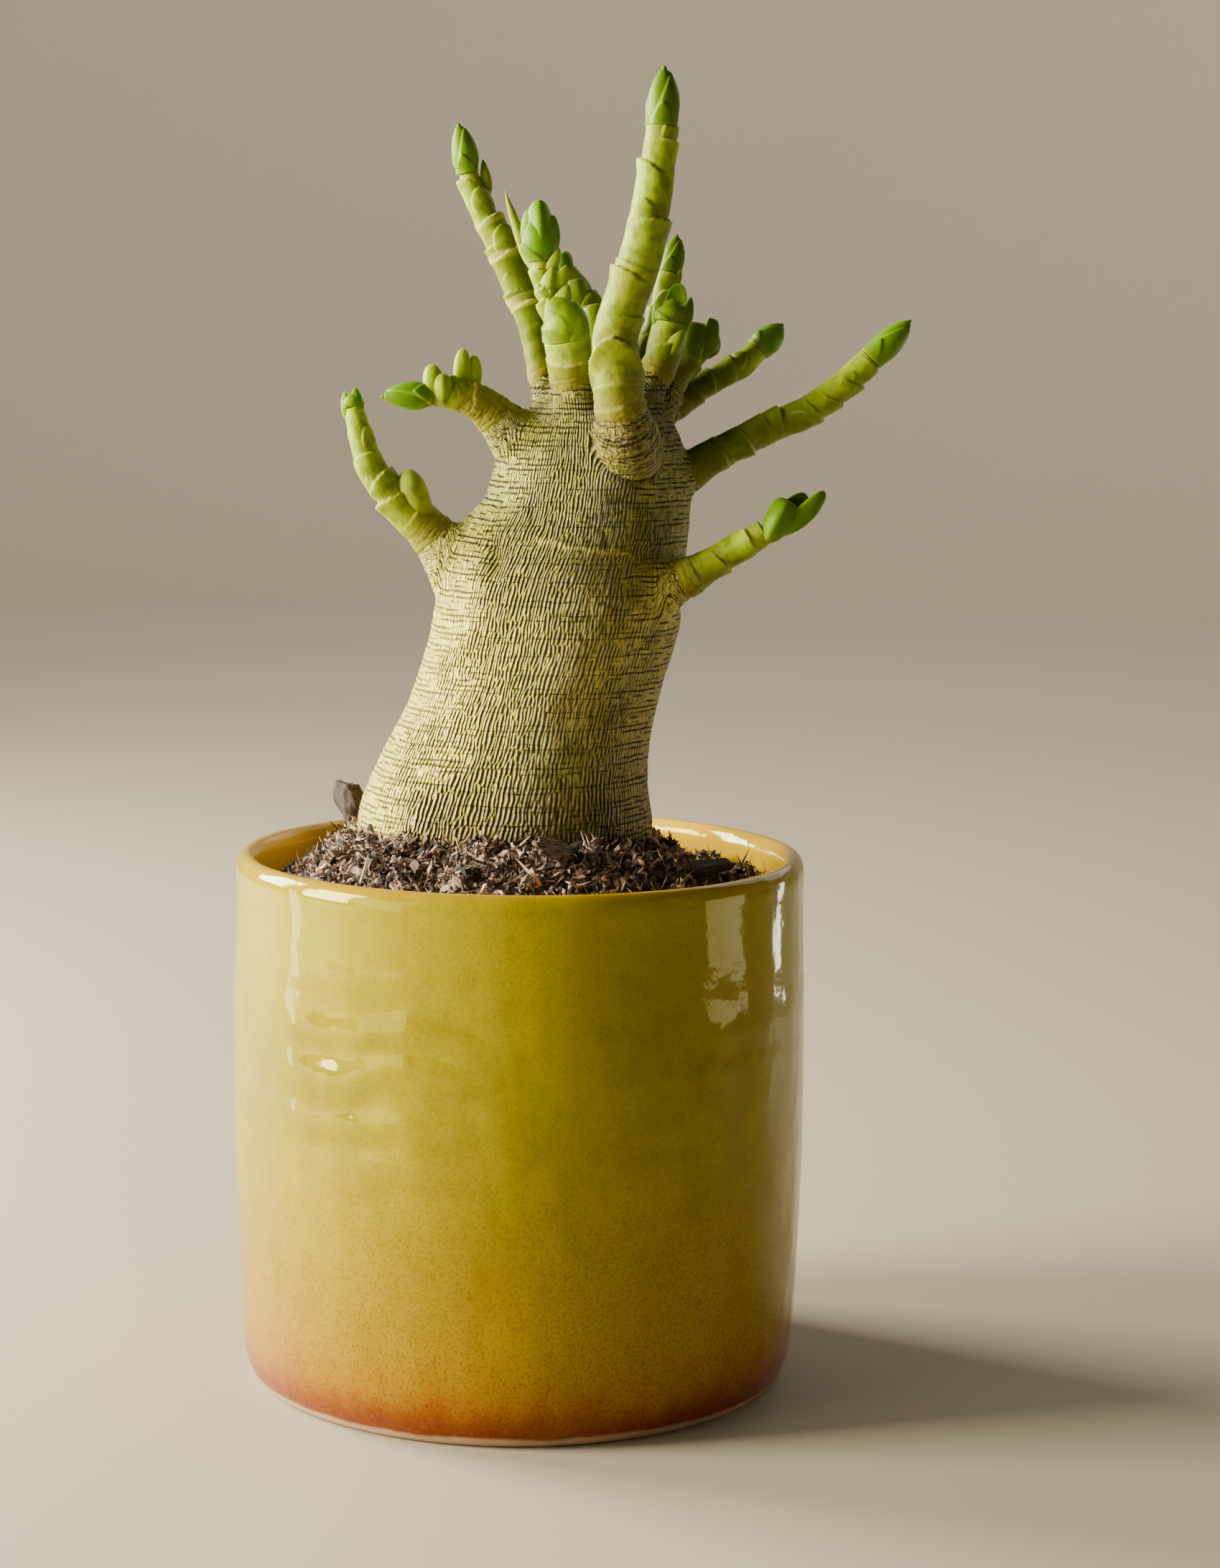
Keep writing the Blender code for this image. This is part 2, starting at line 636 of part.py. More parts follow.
def make_pot(parts, finish):
    lip = []
    for degrees in range(0, 181, LIP_STEP):
        around = math.radians(degrees)
        radius = LIP_CENTRE[0] - LIP_RADIUS * math.cos(around)
        lip.append((radius, LIP_CENTRE[1] + LIP_RADIUS * math.sin(around)))
    cavity = [(0.0, POT_FLOOR), (CAVITY_FLOOR_RADIUS, POT_FLOOR), *CAVITY_WALL[::-1]]
    profile = [*cavity, *lip, *OUTER_WALL, *FOOT_BEVEL, (FOOT_RADIUS, 0.0), (0.0, 0.0)]
    finish_smooth(lathe("pot", profile, POT_SEGMENTS, parts), finish)


def soil_height(x, y):
    """The crumbly surface: a mound round the trunk, lumps, and crumbs raised by a cell pattern."""
    r = math.hypot(x - SOIL_MOUND_CENTRE[0], y - SOIL_MOUND_CENTRE[1])
    mound = SOIL_MOUND * max(0.0, 1.0 - (r / SOIL_MOUND_RADIUS) ** SOIL_MOUND_POWER)
    lumps = LUMP_HEIGHT * noise.noise(Vector((x, y, 0.0)) / LUMP_SIZE)
    near = noise.voronoi(Vector((x / CRUMB_SIZE, y / CRUMB_SIZE, 0.5)))[0]
    crumb = CRUMB_HEIGHT * (near[1] - near[0])
    return SOIL_EDGE_Z + mound + lumps + crumb


def make_soil(parts, cutters, caudex, finish):
    """The filling of the pot: a crumbly top, a plain hole for the caudex and a pocket under each chip."""
    block_top = POT_HEIGHT + SOIL_HEADROOM
    wall = [(CAVITY_RADIUS, block_top), (CAVITY_RADIUS, POT_HEIGHT), *CAVITY_WALL]
    sides = [(radius - SOIL_CLEARANCE, z) for radius, z in wall]
    bottom = [(CAVITY_FLOOR_RADIUS - SOIL_CLEARANCE, POT_FLOOR + GAP), (0.0, POT_FLOOR + GAP)]
    soil = lathe("soil", [(0.0, block_top), *sides, *bottom], POT_SEGMENTS, parts)
    shape = bmesh.new()
    bmesh.ops.create_grid(shape, x_segments=SOIL_CELLS, y_segments=SOIL_CELLS, size=CAVITY_RADIUS + GAP * 10)
    for vert in shape.verts:
        vert.co.z = soil_height(vert.co.x, vert.co.y)
    top = bmesh.ops.extrude_face_region(shape, geom=list(shape.faces))["geom"]
    for item in top:
        if isinstance(item, bmesh.types.BMVert):
            item.co.z = block_top + SOIL_HEADROOM
    bmesh.ops.recalc_face_normals(shape, faces=shape.faces)
    mesh = bpy.data.meshes.new("above_soil")
    shape.to_mesh(mesh)
    shape.free()
    above = add_object("above_soil", mesh, cutters)
    boolean(soil, "DIFFERENCE", [above], "surface")
    hole = grown_copy(caudex, "hole", cutters)
    boolean(soil, "DIFFERENCE", [hole], "hole")
    pockets = []
    for name in BARK_CHIPS:
        pockets.append(grown_copy(bpy.data.objects[name], "pocket_" + name, cutters))
    boolean(soil, "DIFFERENCE", pockets, "pockets")
    finish_smooth(soil, finish)


def grown_copy(obj, name, collection):
    """A copy of a solid's lower part that stands out a little all round, for cutting a clear hole."""
    copy = add_object(name, obj.data.copy(), collection)
    shape = bmesh.new()
    shape.from_mesh(copy.data)
    shape.normal_update()
    for vert in shape.verts:
        vert.co += vert.normal * HOLE_CLEARANCE
    cut = POT_HEIGHT + SOIL_HEADROOM
    if max(vert.co.z for vert in shape.verts) > cut:
        whole = [*shape.verts, *shape.edges, *shape.faces]
        bmesh.ops.bisect_plane(shape, geom=whole, plane_co=(0, 0, cut), plane_no=(0, 0, 1), clear_outer=True)
        bmesh.ops.holes_fill(shape, edges=[edge for edge in shape.edges if edge.is_boundary])
        bmesh.ops.recalc_face_normals(shape, faces=shape.faces)
    shape.to_mesh(copy.data)
    shape.free()
    return copy


def make_bark_chips(parts, finish):
    """Torn chips of bark that lie half sunk in the mix."""
    for i, (name, (place, size, turn)) in enumerate(BARK_CHIPS.items()):
        shape = bmesh.new()
        bmesh.ops.create_icosphere(shape, subdivisions=2, radius=1.0)
        for vert in shape.verts:
            torn = 1.0 + CHIP_TEAR * noise.noise(vert.co * 2.0 + Vector((i * 7.0, 0.0, 0.0)))
            vert.co = vert.co * Vector(size) * torn
        spin = Euler([math.radians(a) for a in turn]).to_matrix().to_4x4()
        bmesh.ops.transform(shape, matrix=Matrix.Translation(place) @ spin, verts=shape.verts)
        mesh = bpy.data.meshes.new(name)
        shape.to_mesh(mesh)
        shape.free()
        finish_smooth(add_object(name, mesh, parts), finish)


def main():
    parts, cutters = start_clean()
    glaze = material("glaze", (0.42, 0.36, 0.03), 0.12)
    mix = material("potting_mix", (0.045, 0.028, 0.02), 0.95)
    chip = material("bark_chip", (0.13, 0.08, 0.055), 0.9)
    bark = material("bark", (0.52, 0.44, 0.24), 0.75)
    stem = material("stem", (0.28, 0.36, 0.10), 0.5)
    bud = material("bud", (0.20, 0.47, 0.05), 0.4)
    make_pot(parts, glaze)
    caudex = make_caudex(parts, cutters, bark)
    make_bark_chips(parts, chip)
    make_soil(parts, cutters, caudex, mix)
    for name, shoot in SHOOTS.items():
        make_shoot(name, shoot, parts, stem, bud)


main()
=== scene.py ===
"""Potted desert rose: the looks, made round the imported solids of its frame.

Lengths in the tables are in millimetres from the centre of the pot's flat base, +Z up, with the front of
the plant towards -Y. A shoot follows one path of (x, y, z, radius) points. What stands on it is placed by
its distance up the shoot from the joint, and by its turn about the shoot in degrees: 0 faces the front,
and 90 is to the right of an upright shoot.
"""

import math

import bpy
import numpy as np
from bpy.props import FloatProperty, FloatVectorProperty, IntProperty, PointerProperty
from mathutils import Euler, Matrix, Vector, noise


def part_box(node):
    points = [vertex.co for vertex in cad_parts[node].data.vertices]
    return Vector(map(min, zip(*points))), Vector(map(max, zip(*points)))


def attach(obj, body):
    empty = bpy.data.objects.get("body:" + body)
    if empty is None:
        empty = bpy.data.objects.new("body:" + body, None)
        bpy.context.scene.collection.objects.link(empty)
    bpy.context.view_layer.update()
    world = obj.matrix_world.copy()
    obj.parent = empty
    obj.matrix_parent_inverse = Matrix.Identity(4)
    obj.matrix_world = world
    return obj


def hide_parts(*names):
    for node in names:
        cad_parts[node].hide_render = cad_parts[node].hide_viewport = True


bl_info = {
    "name": "Potted Desert Rose",
    "version": (1, 0, 0),
    "blender": (4, 5, 0),
    "location": "3D View > Sidebar > Desert Rose",
    "description": "Makes a young desert rose in a glazed pot round its packed solids",
    "category": "Object",
}

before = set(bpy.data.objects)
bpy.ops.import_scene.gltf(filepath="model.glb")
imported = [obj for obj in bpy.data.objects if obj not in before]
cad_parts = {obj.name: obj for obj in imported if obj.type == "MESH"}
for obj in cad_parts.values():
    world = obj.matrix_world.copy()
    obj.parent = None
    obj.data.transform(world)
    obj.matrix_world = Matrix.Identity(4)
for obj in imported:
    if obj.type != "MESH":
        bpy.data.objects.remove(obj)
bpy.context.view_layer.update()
POT_LOW, POT_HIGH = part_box("pot")

MM = 0.001
FRONT = np.array([0.0, -1.0, 0.0])
FULL_TURN = 2.0 * math.pi

# The trunk from its buried tip up to the crown.
CAUDEX_PATH = [
    (0.0, 2.0, 62.0, 14.0),
    (-1.0, 1.5, 66.0, 18.0),
    (-2.0, 1.0, 76.0, 22.8),
    (-2.5, 0.5, 84.5, 23.6),
    (-1.2, 0.0, 92.4, 22.3),
    (0.4, 0.0, 100.2, 20.0),
    (2.3, 0.0, 108.5, 18.7),
    (4.1, 0.0, 115.5, 18.8),
    (5.6, 0.0, 121.5, 19.1),
    (6.8, 0.0, 127.0, 18.6),
    (9.2, 0.5, 133.5, 16.6),
    (10.3, 1.0, 140.0, 15.7),
    (10.8, 1.5, 146.0, 14.5),
    (10.8, 2.0, 151.0, 12.2),
    (10.6, 2.2, 155.0, 8.5),
]

# How a leaf narrows to its tip.
ROUND = 0.24
BLUNT = 0.42
POINTED = 0.80
# Each shoot, by its keys:
# path runs from inside the trunk, and joint is the number of its point where the bark ends
# woody is how far up the stem the bark runs on
# the key for darkening is how much darker the lower stem and the bud are: partly their own darker green,
# partly painted shade
# nodes are leaf scars: (distance, turn, tilt, bulge, rim)
# scales are young leaves pressed to the shoot: (distance, turn, length, width, lift, roundness)
# sleeves are papery bands: (distance, length)
# stub is the path of a side growth
# leaves stand free: (foot, tip, width, shape, cup, turn) and, where it isn't the usual, the outer bulge
# bud is one bud or a list: a shut one is (length, width, turn, greenness), and an open one is its leaves
# lean moves the tip of a shut bud
SHOOTS = {
    "left_low": {
        "joint": 2,
        "path": [
            (-6.0, -1.0, 123.5, 8.0),
            (-11.2, -2.0, 130.0, 5.0),
            (-14.8, -2.5, 133.8, 3.5),
            (-18.2, -3.0, 137.2, 3.2),
            (-21.6, -3.5, 140.8, 2.6),
            (-23.6, -3.5, 143.6, 2.3),
            (-25.0, -3.0, 147.5, 1.95),
            (-25.9, -2.6, 151.0, 1.65),
            (-26.3, -2.5, 152.6, 1.50),
        ],
        "nodes": [
            (3.2, 60, 0.2, 0.15, 0.2),
            (7.4, -60, 0.35, 0.5, 0.4),
            (10.4, 40, 0.5, 0.4, 0.5),
            (14.8, 10, 0.2, 0.3, 0.6),
        ],
        "scales": [(8.2, -30, 4.0, 4.6, 0.25, 3.5), (15.2, 60, 4.6, 4.2, 0.2, 3.0)],
        "woody": 1.5,
        "stub": [
            (-15.4, -3.4, 135.0, 2.0),
            (-16.6, -3.9, 138.2, 2.3),
            (-17.5, -4.2, 141.0, 2.25),
            (-18.1, -4.3, 143.3, 2.0),
        ],
        "bud": [
            (2.4, 3.1, 0, 0.5),
            ((-27.1, -2.6, 150.6), (-27.7, -2.6, 155.2), 2.2, POINTED, 0.3, -50, 0.5),
            ((-25.9, -2.9, 150.6), (-26.0, -2.8, 155.8), 2.6, POINTED, 0.3, 20, 0.5),
        ],
    },
    "left_high": {
        "joint": 2,
        "dark_and_shade": (0.5, 0.1),
        "woody": 5.0,
        "path": [
            (3.5, -1.0, 143.0, 7.5),
            (-1.5, -3.0, 148.5, 4.6),
            (-5.5, -4.5, 152.4, 3.1),
            (-8.4, -5.5, 154.2, 2.7),
            (-11.0, -6.0, 154.8, 2.4),
            (-14.2, -6.5, 154.7, 1.5),
        ],
        "nodes": [(3.2, 60, 0.3, 0.15, 0.1), (6.0, 100, 0.4, 0.25, 0.2)],
        "scales": [],
        "leaves": [
            ((-13.4, -6.4, 153.0), (-14.3, -6.8, 159.4), 3.8, BLUNT, 0.3, -35),
            ((-12.5, -7.2, 153.2), (-12.6, -7.8, 158.0), 3.4, BLUNT, 0.3, 5),
            ((-11.5, -6.4, 153.2), (-10.9, -6.5, 157.8), 3.2, BLUNT, 0.3, 40),
            ((-9.4, -4.2, 154.4), (-9.6, -3.6, 161.8), 3.2, BLUNT, 0.3, -40),
            ((-8.4, -3.8, 154.2), (-7.8, -3.4, 160.8), 3.2, BLUNT, 0.3, 45),
        ],
        "bud": (7.9, 4.2, 90, 1.0),
    },
    "back_left_tall": {
        "joint": 2,
        "dark_and_shade": (0.85, 0.3),
        "path": [
            (7.0, 4.0, 148.0, 4.8),
            (4.0, 6.5, 154.0, 3.0),
            (2.6, 7.8, 158.5, 2.4),
            (1.6, 8.6, 162.8, 2.1),
            (0.6, 9.2, 167.2, 2.4),
            (-1.6, 9.8, 172.4, 2.5),
            (-3.6, 10.2, 177.5, 2.6),
            (-6.1, 10.5, 181.8, 2.1),
            (-7.7, 10.6, 185.0, 2.0),
            (-8.8, 10.6, 187.7, 1.7),
            (-9.1, 10.6, 188.9, 1.6),
        ],
        "nodes": [
            (7.2, 100, 0.1, 0.12, 0.1),
            (10.3, 40, 0.25, 0.45, 0.8),
            (12.6, -60, 0.3, 0.3, 0.5),
            (18.6, 50, 0.3, 0.5, 0.9),
            (20.2, -60, 0.35, 0.3, 0.4),
            (24.6, 40, 0.4, 0.5, 0.9),
            (31.6, -70, 0.35, 0.4, 1.0),
        ],
        "scales": [
            (18.8, 35, 4.6, 5.6, 0.35, 4.0),
            (25.4, 30, 5.0, 5.0, 0.3, 4.0),
            (11.0, -20, 5.0, 4.4, 0.2, 4.0),
        ],
        "sleeves": [(10.2, 2.2), (18.4, 1.4), (24.3, 1.2)],
        "leaves": [((-6.0, 11.0, 185.6), (-6.9, 10.9, 191.2), 1.9, POINTED, 0.3, 20)],
        "bud": (8.0, 4.2, 60, 0.8),
    },
    "crown": {
        "joint": 2,
        "dark_and_shade": (0.5, 0.0),
        "path": [
            (8.5, 2.0, 149.0, 5.0),
            (7.6, 2.2, 156.0, 3.2),
            (6.8, 2.4, 160.5, 2.4),
            (5.3, 2.5, 166.0, 2.4),
            (3.6, 2.6, 170.0, 1.9),
            (2.7, 2.6, 173.1, 1.8),
            (2.4, 2.6, 175.3, 2.0),
        ],
        "nodes": [
            (1.6, 0, -0.3, 0.25, 0.8),
            (4.2, -50, 0.4, 0.3, 0.4),
            (8.4, -30, 0.7, 0.6, 0.6),
            (11.4, 60, 0.5, 0.4, 0.5),
            (14.0, -40, 0.2, 0.35, 0.6),
        ],
        "scales": [
            (2.4, 10, 5.0, 5.2, 0.3, 3.5),
            (9.2, -30, 3.0, 3.2, 0.5, 3.5),
            (9.4, 50, 3.2, 3.0, 0.55, 3.5),
        ],
        "stub": [
            (2.0, 3.2, 174.0, 1.1),
            (0.2, 4.8, 176.4, 1.0),
            (-1.1, 5.2, 179.6, 0.85),
            (-2.4, 5.4, 183.2, 0.6),
            (-3.4, 5.4, 186.4, 0.15),
        ],
        "leaves": [
            ((3.4, 1.0, 170.4), (4.1, 0.2, 174.4), 2.8, POINTED, 0.4, 10, 0.5),
            ((4.9, 1.3, 170.8), (6.3, 0.7, 174.8), 2.8, POINTED, 0.4, 35, 0.5),
            ((5.2, 1.1, 167.6), (6.5, 0.3, 171.9), 3.0, POINTED, 0.4, 20, 0.5),
            ((3.7, 1.3, 173.4), (5.2, 0.8, 177.4), 2.2, POINTED, 0.4, 40, 0.5),
            ((4.2, 1.2, 165.8), (4.0, 0.2, 169.6), 2.8, POINTED, 0.4, -20, 0.5),
        ],
        "bud": [
            (8.0, 5.8, 10, 1.0),
            ((2.5, 1.2, 175.0), (1.9, 1.4, 184.6), 4.4, BLUNT, 0.9, 5, 0.35),
            ((1.2, 2.6, 175.0), (0.2, 2.6, 183.2), 4.6, BLUNT, 0.9, -70, 0.35),
            ((3.5, 2.7, 175.0), (4.1, 2.6, 182.4), 4.4, BLUNT, 0.9, 72, 0.35),
            ((2.2, 3.9, 175.2), (1.8, 4.0, 183.4), 4.4, BLUNT, 0.9, 180, 0.35),
        ],
    },
    "back_centre": {
        "joint": 2,
        "dark_and_shade": (0.7, 0.3),
        "path": [
            (11.5, 6.0, 149.0, 5.0),
            (12.0, 10.0, 155.5, 3.2),
            (12.0, 11.8, 160.0, 2.5),
            (10.8, 12.6, 166.0, 2.2),
            (8.4, 13.0, 170.8, 2.2),
            (6.2, 13.2, 173.8, 1.9),
        ],
        "nodes": [
            (3.5, 60, 0.5, 0.4, 0.5),
            (6.6, -60, 0.6, 0.5, 0.5),
            (9.6, 40, 0.5, 0.4, 0.5),
            (12.8, -60, 0.5, 0.35, 0.6),
        ],
        "scales": [(4.0, -20, 3.2, 4.6, 0.4, 3.5), (7.4, 30, 3.0, 4.2, 0.4, 3.5)],
        "leaves": [
            ((12.2, 10.8, 162.0), (10.2, 10.0, 168.9), 4.2, ROUND, 0.2, -20),
            ((12.8, 11.0, 162.6), (13.2, 10.8, 168.4), 4.0, ROUND, 0.2, 30),
            ((9.0, 12.0, 168.0), (7.6, 11.0, 172.8), 3.4, ROUND, 0.2, 0),
        ],
        "bud": [
            ((6.6, 12.6, 173.2), (5.8, 12.0, 176.9), 2.4, BLUNT, 0.3, 0),
            ((5.6, 13.4, 173.4), (4.2, 13.2, 176.9), 2.2, BLUNT, 0.3, -90),
            ((6.6, 13.8, 173.4), (6.2, 14.2, 177.2), 2.2, BLUNT, 0.3, 160),
        ],
    },
    "front_stub": {
        "joint": 2,
        "path": [
            (9.5, -3.0, 148.0, 6.0),
            (8.0, -6.8, 154.5, 4.0),
            (7.2, -7.8, 158.4, 3.7),
            (6.7, -8.4, 161.6, 3.6),
            (6.3, -8.7, 163.4, 3.5),
        ],
        "nodes": [(2.8, 0, -0.25, 0.15, 0.9), (6.0, -20, 0.2, 0.1, 0.6)],
        "scales": [],
        "bud": (7.2, 6.5, -70, 0.12),
        "lean": (-1.7, 0.0, -0.6),
    },
    "front_tall": {
        "joint": 4,
        "dark_and_shade": (0.25, 0.6),
        "path": [
            (14.0, -2.0, 142.6, 7.2),
            (15.4, -9.5, 145.4, 6.1),
            (15.3, -13.9, 148.6, 5.4),
            (14.7, -16.3, 151.4, 4.6),
            (14.1, -17.4, 154.5, 3.8),
            (13.7, -17.6, 159.0, 3.6),
            (13.4, -17.8, 163.4, 3.5),
            (14.3, -18.0, 167.5, 3.3),
            (16.1, -18.4, 172.9, 3.3),
            (17.6, -18.6, 178.1, 3.2),
            (18.5, -18.6, 183.2, 2.95),
            (19.2, -18.4, 188.2, 2.7),
            (19.8, -18.2, 192.7, 2.45),
            (19.9, -18.1, 194.8, 2.35),
        ],
        "nodes": [
            (-0.9, 20, 0.15, 0.1, 0.25),
            (1.9, 6, 0.2, 0.12, 0.55),
            (3.3, -6, 1.75, 1.0, 0.95),
            (12.4, 70, 0.3, 0.25, 0.3),
            (18.6, -60, 0.3, 0.4, 0.5),
            (20.3, -60, 0.1, 0.2, 0.5),
            (26.9, 50, 0.3, 0.45, 0.6),
            (34.4, -80, 0.60, 0.45, 0.6),
            (38.4, 25, 0.35, 0.4, 1.0),
        ],
        "scales": [
            (17.8, 48, 2.6, 3.4, 0.28, 3.0),
            (25.6, -25, 4.6, 4.6, 0.3, 4.0),
            (38.6, 60, 4.4, 5.2, 0.25, 3.0),
        ],
        "bud": (8.9, 4.9, 70, 0.9),
    },
    "behind_tall": {
        "joint": 2,
        "dark_and_shade": (0.9, 0.7),
        "path": [
            (13.0, 6.0, 148.0, 5.2),
            (16.5, 12.0, 155.0, 3.2),
            (18.5, 14.8, 160.0, 2.4),
            (20.8, 16.5, 165.5, 2.0),
            (22.2, 17.5, 170.5, 2.0),
            (22.9, 18.0, 174.0, 1.8),
        ],
        "nodes": [
            (4.0, 60, 0.5, 0.35, 0.4),
            (8.0, -60, 0.5, 0.4, 0.5),
            (11.6, 50, 0.4, 0.4, 0.5),
            (14.6, 0, 0.2, 0.5, 0.8),
        ],
        "scales": [(8.6, 20, 3.6, 4.2, 0.4, 3.5)],
        "leaves": [
            ((23.0, 16.2, 166.6), (24.9, 15.6, 171.4), 2.6, BLUNT, 0.2, 20),
            ((23.8, 16.8, 171.6), (24.6, 16.4, 174.8), 1.4, POINTED, 0.3, 40),
        ],
        "bud": (6.4, 3.7, 60, 1.0),
    },
    "beak": {
        "joint": 2,
        "dark_and_shade": (0.9, 0.7),
        "path": [
            (14.0, 1.0, 148.0, 6.0),
            (18.6, 2.2, 155.2, 3.6),
            (20.8, 2.8, 159.4, 2.8),
            (21.9, 3.0, 163.0, 2.9),
            (22.4, 3.0, 166.3, 2.6),
        ],
        "nodes": [(2.6, 40, 0.5, 0.4, 0.4)],
        "scales": [],
        "leaves": [
            ((22.2, 1.2, 160.6), (24.3, 0.1, 165.0), 3.0, POINTED, 0.4, 15, 0.5),
        ],
        "bud": [
            ((20.9, 2.6, 164.4), (20.3, 2.2, 169.8), 3.4, POINTED, 0.5, -50, 0.4),
            ((23.6, 2.8, 163.8), (25.7, 2.6, 170.2), 4.0, POINTED, 0.5, 50, 0.4),
            ((22.6, 4.4, 164.0), (23.9, 4.8, 172.2), 3.6, BLUNT, 0.4, 170, 0.4),
            (3.6, 5.4, 20, 0.5),
        ],
    },
    "right_stub": {
        "joint": 2,
        "dark_and_shade": (0.9, 0.85),
        "path": [
            (16.0, 5.0, 147.0, 6.0),
            (20.6, 9.2, 154.0, 3.8),
            (23.2, 10.6, 157.8, 2.9),
            (25.6, 11.2, 160.6, 2.6),
            (27.2, 11.4, 162.2, 2.3),
        ],
        "nodes": [(3.4, 30, 0.4, 0.35, 0.3)],
        "scales": [],
        "bud": [
            ((25.6, 10.2, 159.4), (26.6, 9.8, 166.3), 4.8, ROUND, 0.2, -20, 0.6),
            ((27.6, 10.6, 160.0), (29.6, 10.6, 166.9), 3.6, ROUND, 0.2, 55, 0.6),
            ((26.6, 12.4, 160.2), (27.8, 13.0, 166.2), 4.4, ROUND, 0.2, 180, 0.6),
            (4.4, 5.6, 20, 0.5),
        ],
    },
    "right_mid": {
        "joint": 2,
        "dark_and_shade": (1.0, 0.0),
        "path": [
            (15.0, 7.0, 145.0, 5.8),
            (20.8, 12.2, 151.0, 3.2),
            (24.5, 13.6, 153.6, 2.4),
            (27.6, 14.4, 155.7, 2.1),
            (31.5, 15.0, 158.0, 2.0),
            (34.4, 15.4, 159.6, 2.1),
            (36.0, 15.7, 161.0, 1.9),
            (37.0, 15.9, 162.0, 1.8),
        ],
        "nodes": [(3.0, 70, 0.3, 0.2, 0.3), (6.0, -50, 0.4, 0.3, 0.5), (9.9, -50, 0.4, 0.45, 0.7)],
        "scales": [(10.2, -40, 3.0, 4.0, 0.35, 3.5)],
        "bud": (6.0, 4.6, 20, 1.0),
    },
    "right_long": {
        "joint": 2,
        "dark_and_shade": (0.8, 0.0),
        "path": [
            (16.0, 0.0, 136.0, 8.0),
            (22.0, 1.0, 141.0, 4.6),
            (26.2, 2.0, 143.6, 3.2),
            (30.6, 2.4, 146.2, 2.6),
            (38.4, 3.0, 150.2, 2.5),
            (44.0, 3.0, 152.6, 2.4),
            (49.0, 3.0, 156.2, 2.3),
            (51.8, 3.0, 158.8, 2.2),
            (53.8, 3.0, 160.8, 2.0),
        ],
        "nodes": [
            (5.3, 0, 0.0, 0.2, 0.7),
            (6.0, 20, 0.1, 0.1, 0.4),
            (9.3, 40, 0.2, 0.35, 1.0),
            (12.8, -40, 0.3, 0.15, 0.4),
            (15.4, -60, 0.3, 0.3, 0.6),
            (20.8, 60, 0.3, 0.3, 0.6),
            (23.8, 80, 0.6, 0.25, 0.8),
            (28.0, 90, 0.5, 0.3, 0.5),
            (32.3, 30, 0.1, 0.2, 0.6),
        ],
        "scales": [(24.6, -10, 5.0, 4.8, 0.2, 3.5), (16.0, 30, 4.4, 4.6, 0.2, 4.0)],
        "bud": (8.8, 4.5, 40, 0.9),
    },
    "right_low": {
        "joint": 3,
        "dark_and_shade": (0.35, 0.35),
        "path": [
            (12.0, -6.0, 119.0, 8.5),
            (18.2, -8.8, 123.8, 5.6),
            (22.2, -9.8, 126.2, 4.0),
            (25.8, -10.6, 128.0, 3.0),
            (29.2, -11.1, 130.0, 2.4),
            (32.4, -11.5, 132.0, 2.3),
            (35.2, -11.8, 133.7, 2.1),
            (36.7, -12.0, 134.8, 1.9),
        ],
        "nodes": [(0.6, 0, 0.1, 0.15, 0.4), (4.7, 60, 0.35, 0.3, 0.7), (10.0, -20, 0.25, 0.3, 1.0)],
        "scales": [],
        "bud": [
            ((36.8, -12.8, 133.2), (40.2, -13.4, 139.5), 4.5, ROUND, 0.4, -10),
            ((38.0, -12.2, 134.2), (45.7, -12.4, 140.9), 3.8, BLUNT, 0.3, 50),
            ((36.8, -11.4, 134.0), (43.0, -11.2, 140.4), 3.8, BLUNT, 0.3, 200),
        ],
    },
}
# Each chip: its centre, its half sizes, and its turns in degrees about X, Y and Z.
BARK_CHIPS = {
    "front": ((5.0, -29.2, 88.2), (5.6, 1.8, 0.9), (50, 12, 62)),
    "left": ((-27.2, 20.0, 87.2), (5.2, 3.4, 2.2), (10, 60, 40)),
    "right": ((28.0, -13.0, 82.9), (4.8, 2.3, 0.9), (8, -8, 20)),
}


# Settings


def length_setting(name, description, default):
    return FloatProperty(
        name=name,
        description=description,
        default=default,
        min=0.0,
        precision=5,
        subtype="DISTANCE",
        unit="LENGTH",
    )


def power_setting(name, description, default):
    return FloatProperty(name=name, description=description, default=default, unit="POWER")


def colour_setting(name, description, default):
    return FloatVectorProperty(
        name=name, description=description, default=default, min=0.0, max=1.0, size=3, subtype="COLOR"
    )


class PotSettings(bpy.types.PropertyGroup):
    """The pot's sizes and the colours of its glaze"""

    height: length_setting("Height", "Height of the pot", POT_HIGH.z)
    width: length_setting("Width", "Outer width of the pot at its widest", POT_HIGH.x - POT_LOW.x)
    wall: length_setting("Wall", "Thickness of the wall", 0.0036)
    glaze: colour_setting("Glaze", "The glaze where it is thick", (0.165, 0.133, 0.0))
    bright: colour_setting("Bright glaze", "The glaze where it runs thin and yellow", (0.292, 0.238, 0.0))
    amber: colour_setting("Amber glaze", "The glaze inside and at the very lip", (0.36, 0.19, 0.002))
    rust: colour_setting("Rust band", "Where the glaze breaks to rust at the foot", (0.125, 0.015, 0.003))
    clay: colour_setting("Clay", "The bare clay of the foot", (0.42, 0.26, 0.165))


class SoilSettings(bpy.types.PropertyGroup):
    """The potting mix and its crumbs"""

    crumbs: IntProperty(name="Crumbs", description="How many crumbs lie on the mix", default=9300, min=0)
    crumb_size: length_setting("Crumb size", "Usual size of a crumb", 0.00074)
    # The dark colour is the mix's own dark crumbs, and painted shade in the hollows of the mix.
    dark: colour_setting("Dark", "The mix in its hollows", (0.008, 0.005, 0.004))
    light: colour_setting("Light", "The dry crumbs", (0.66, 0.430, 0.310))


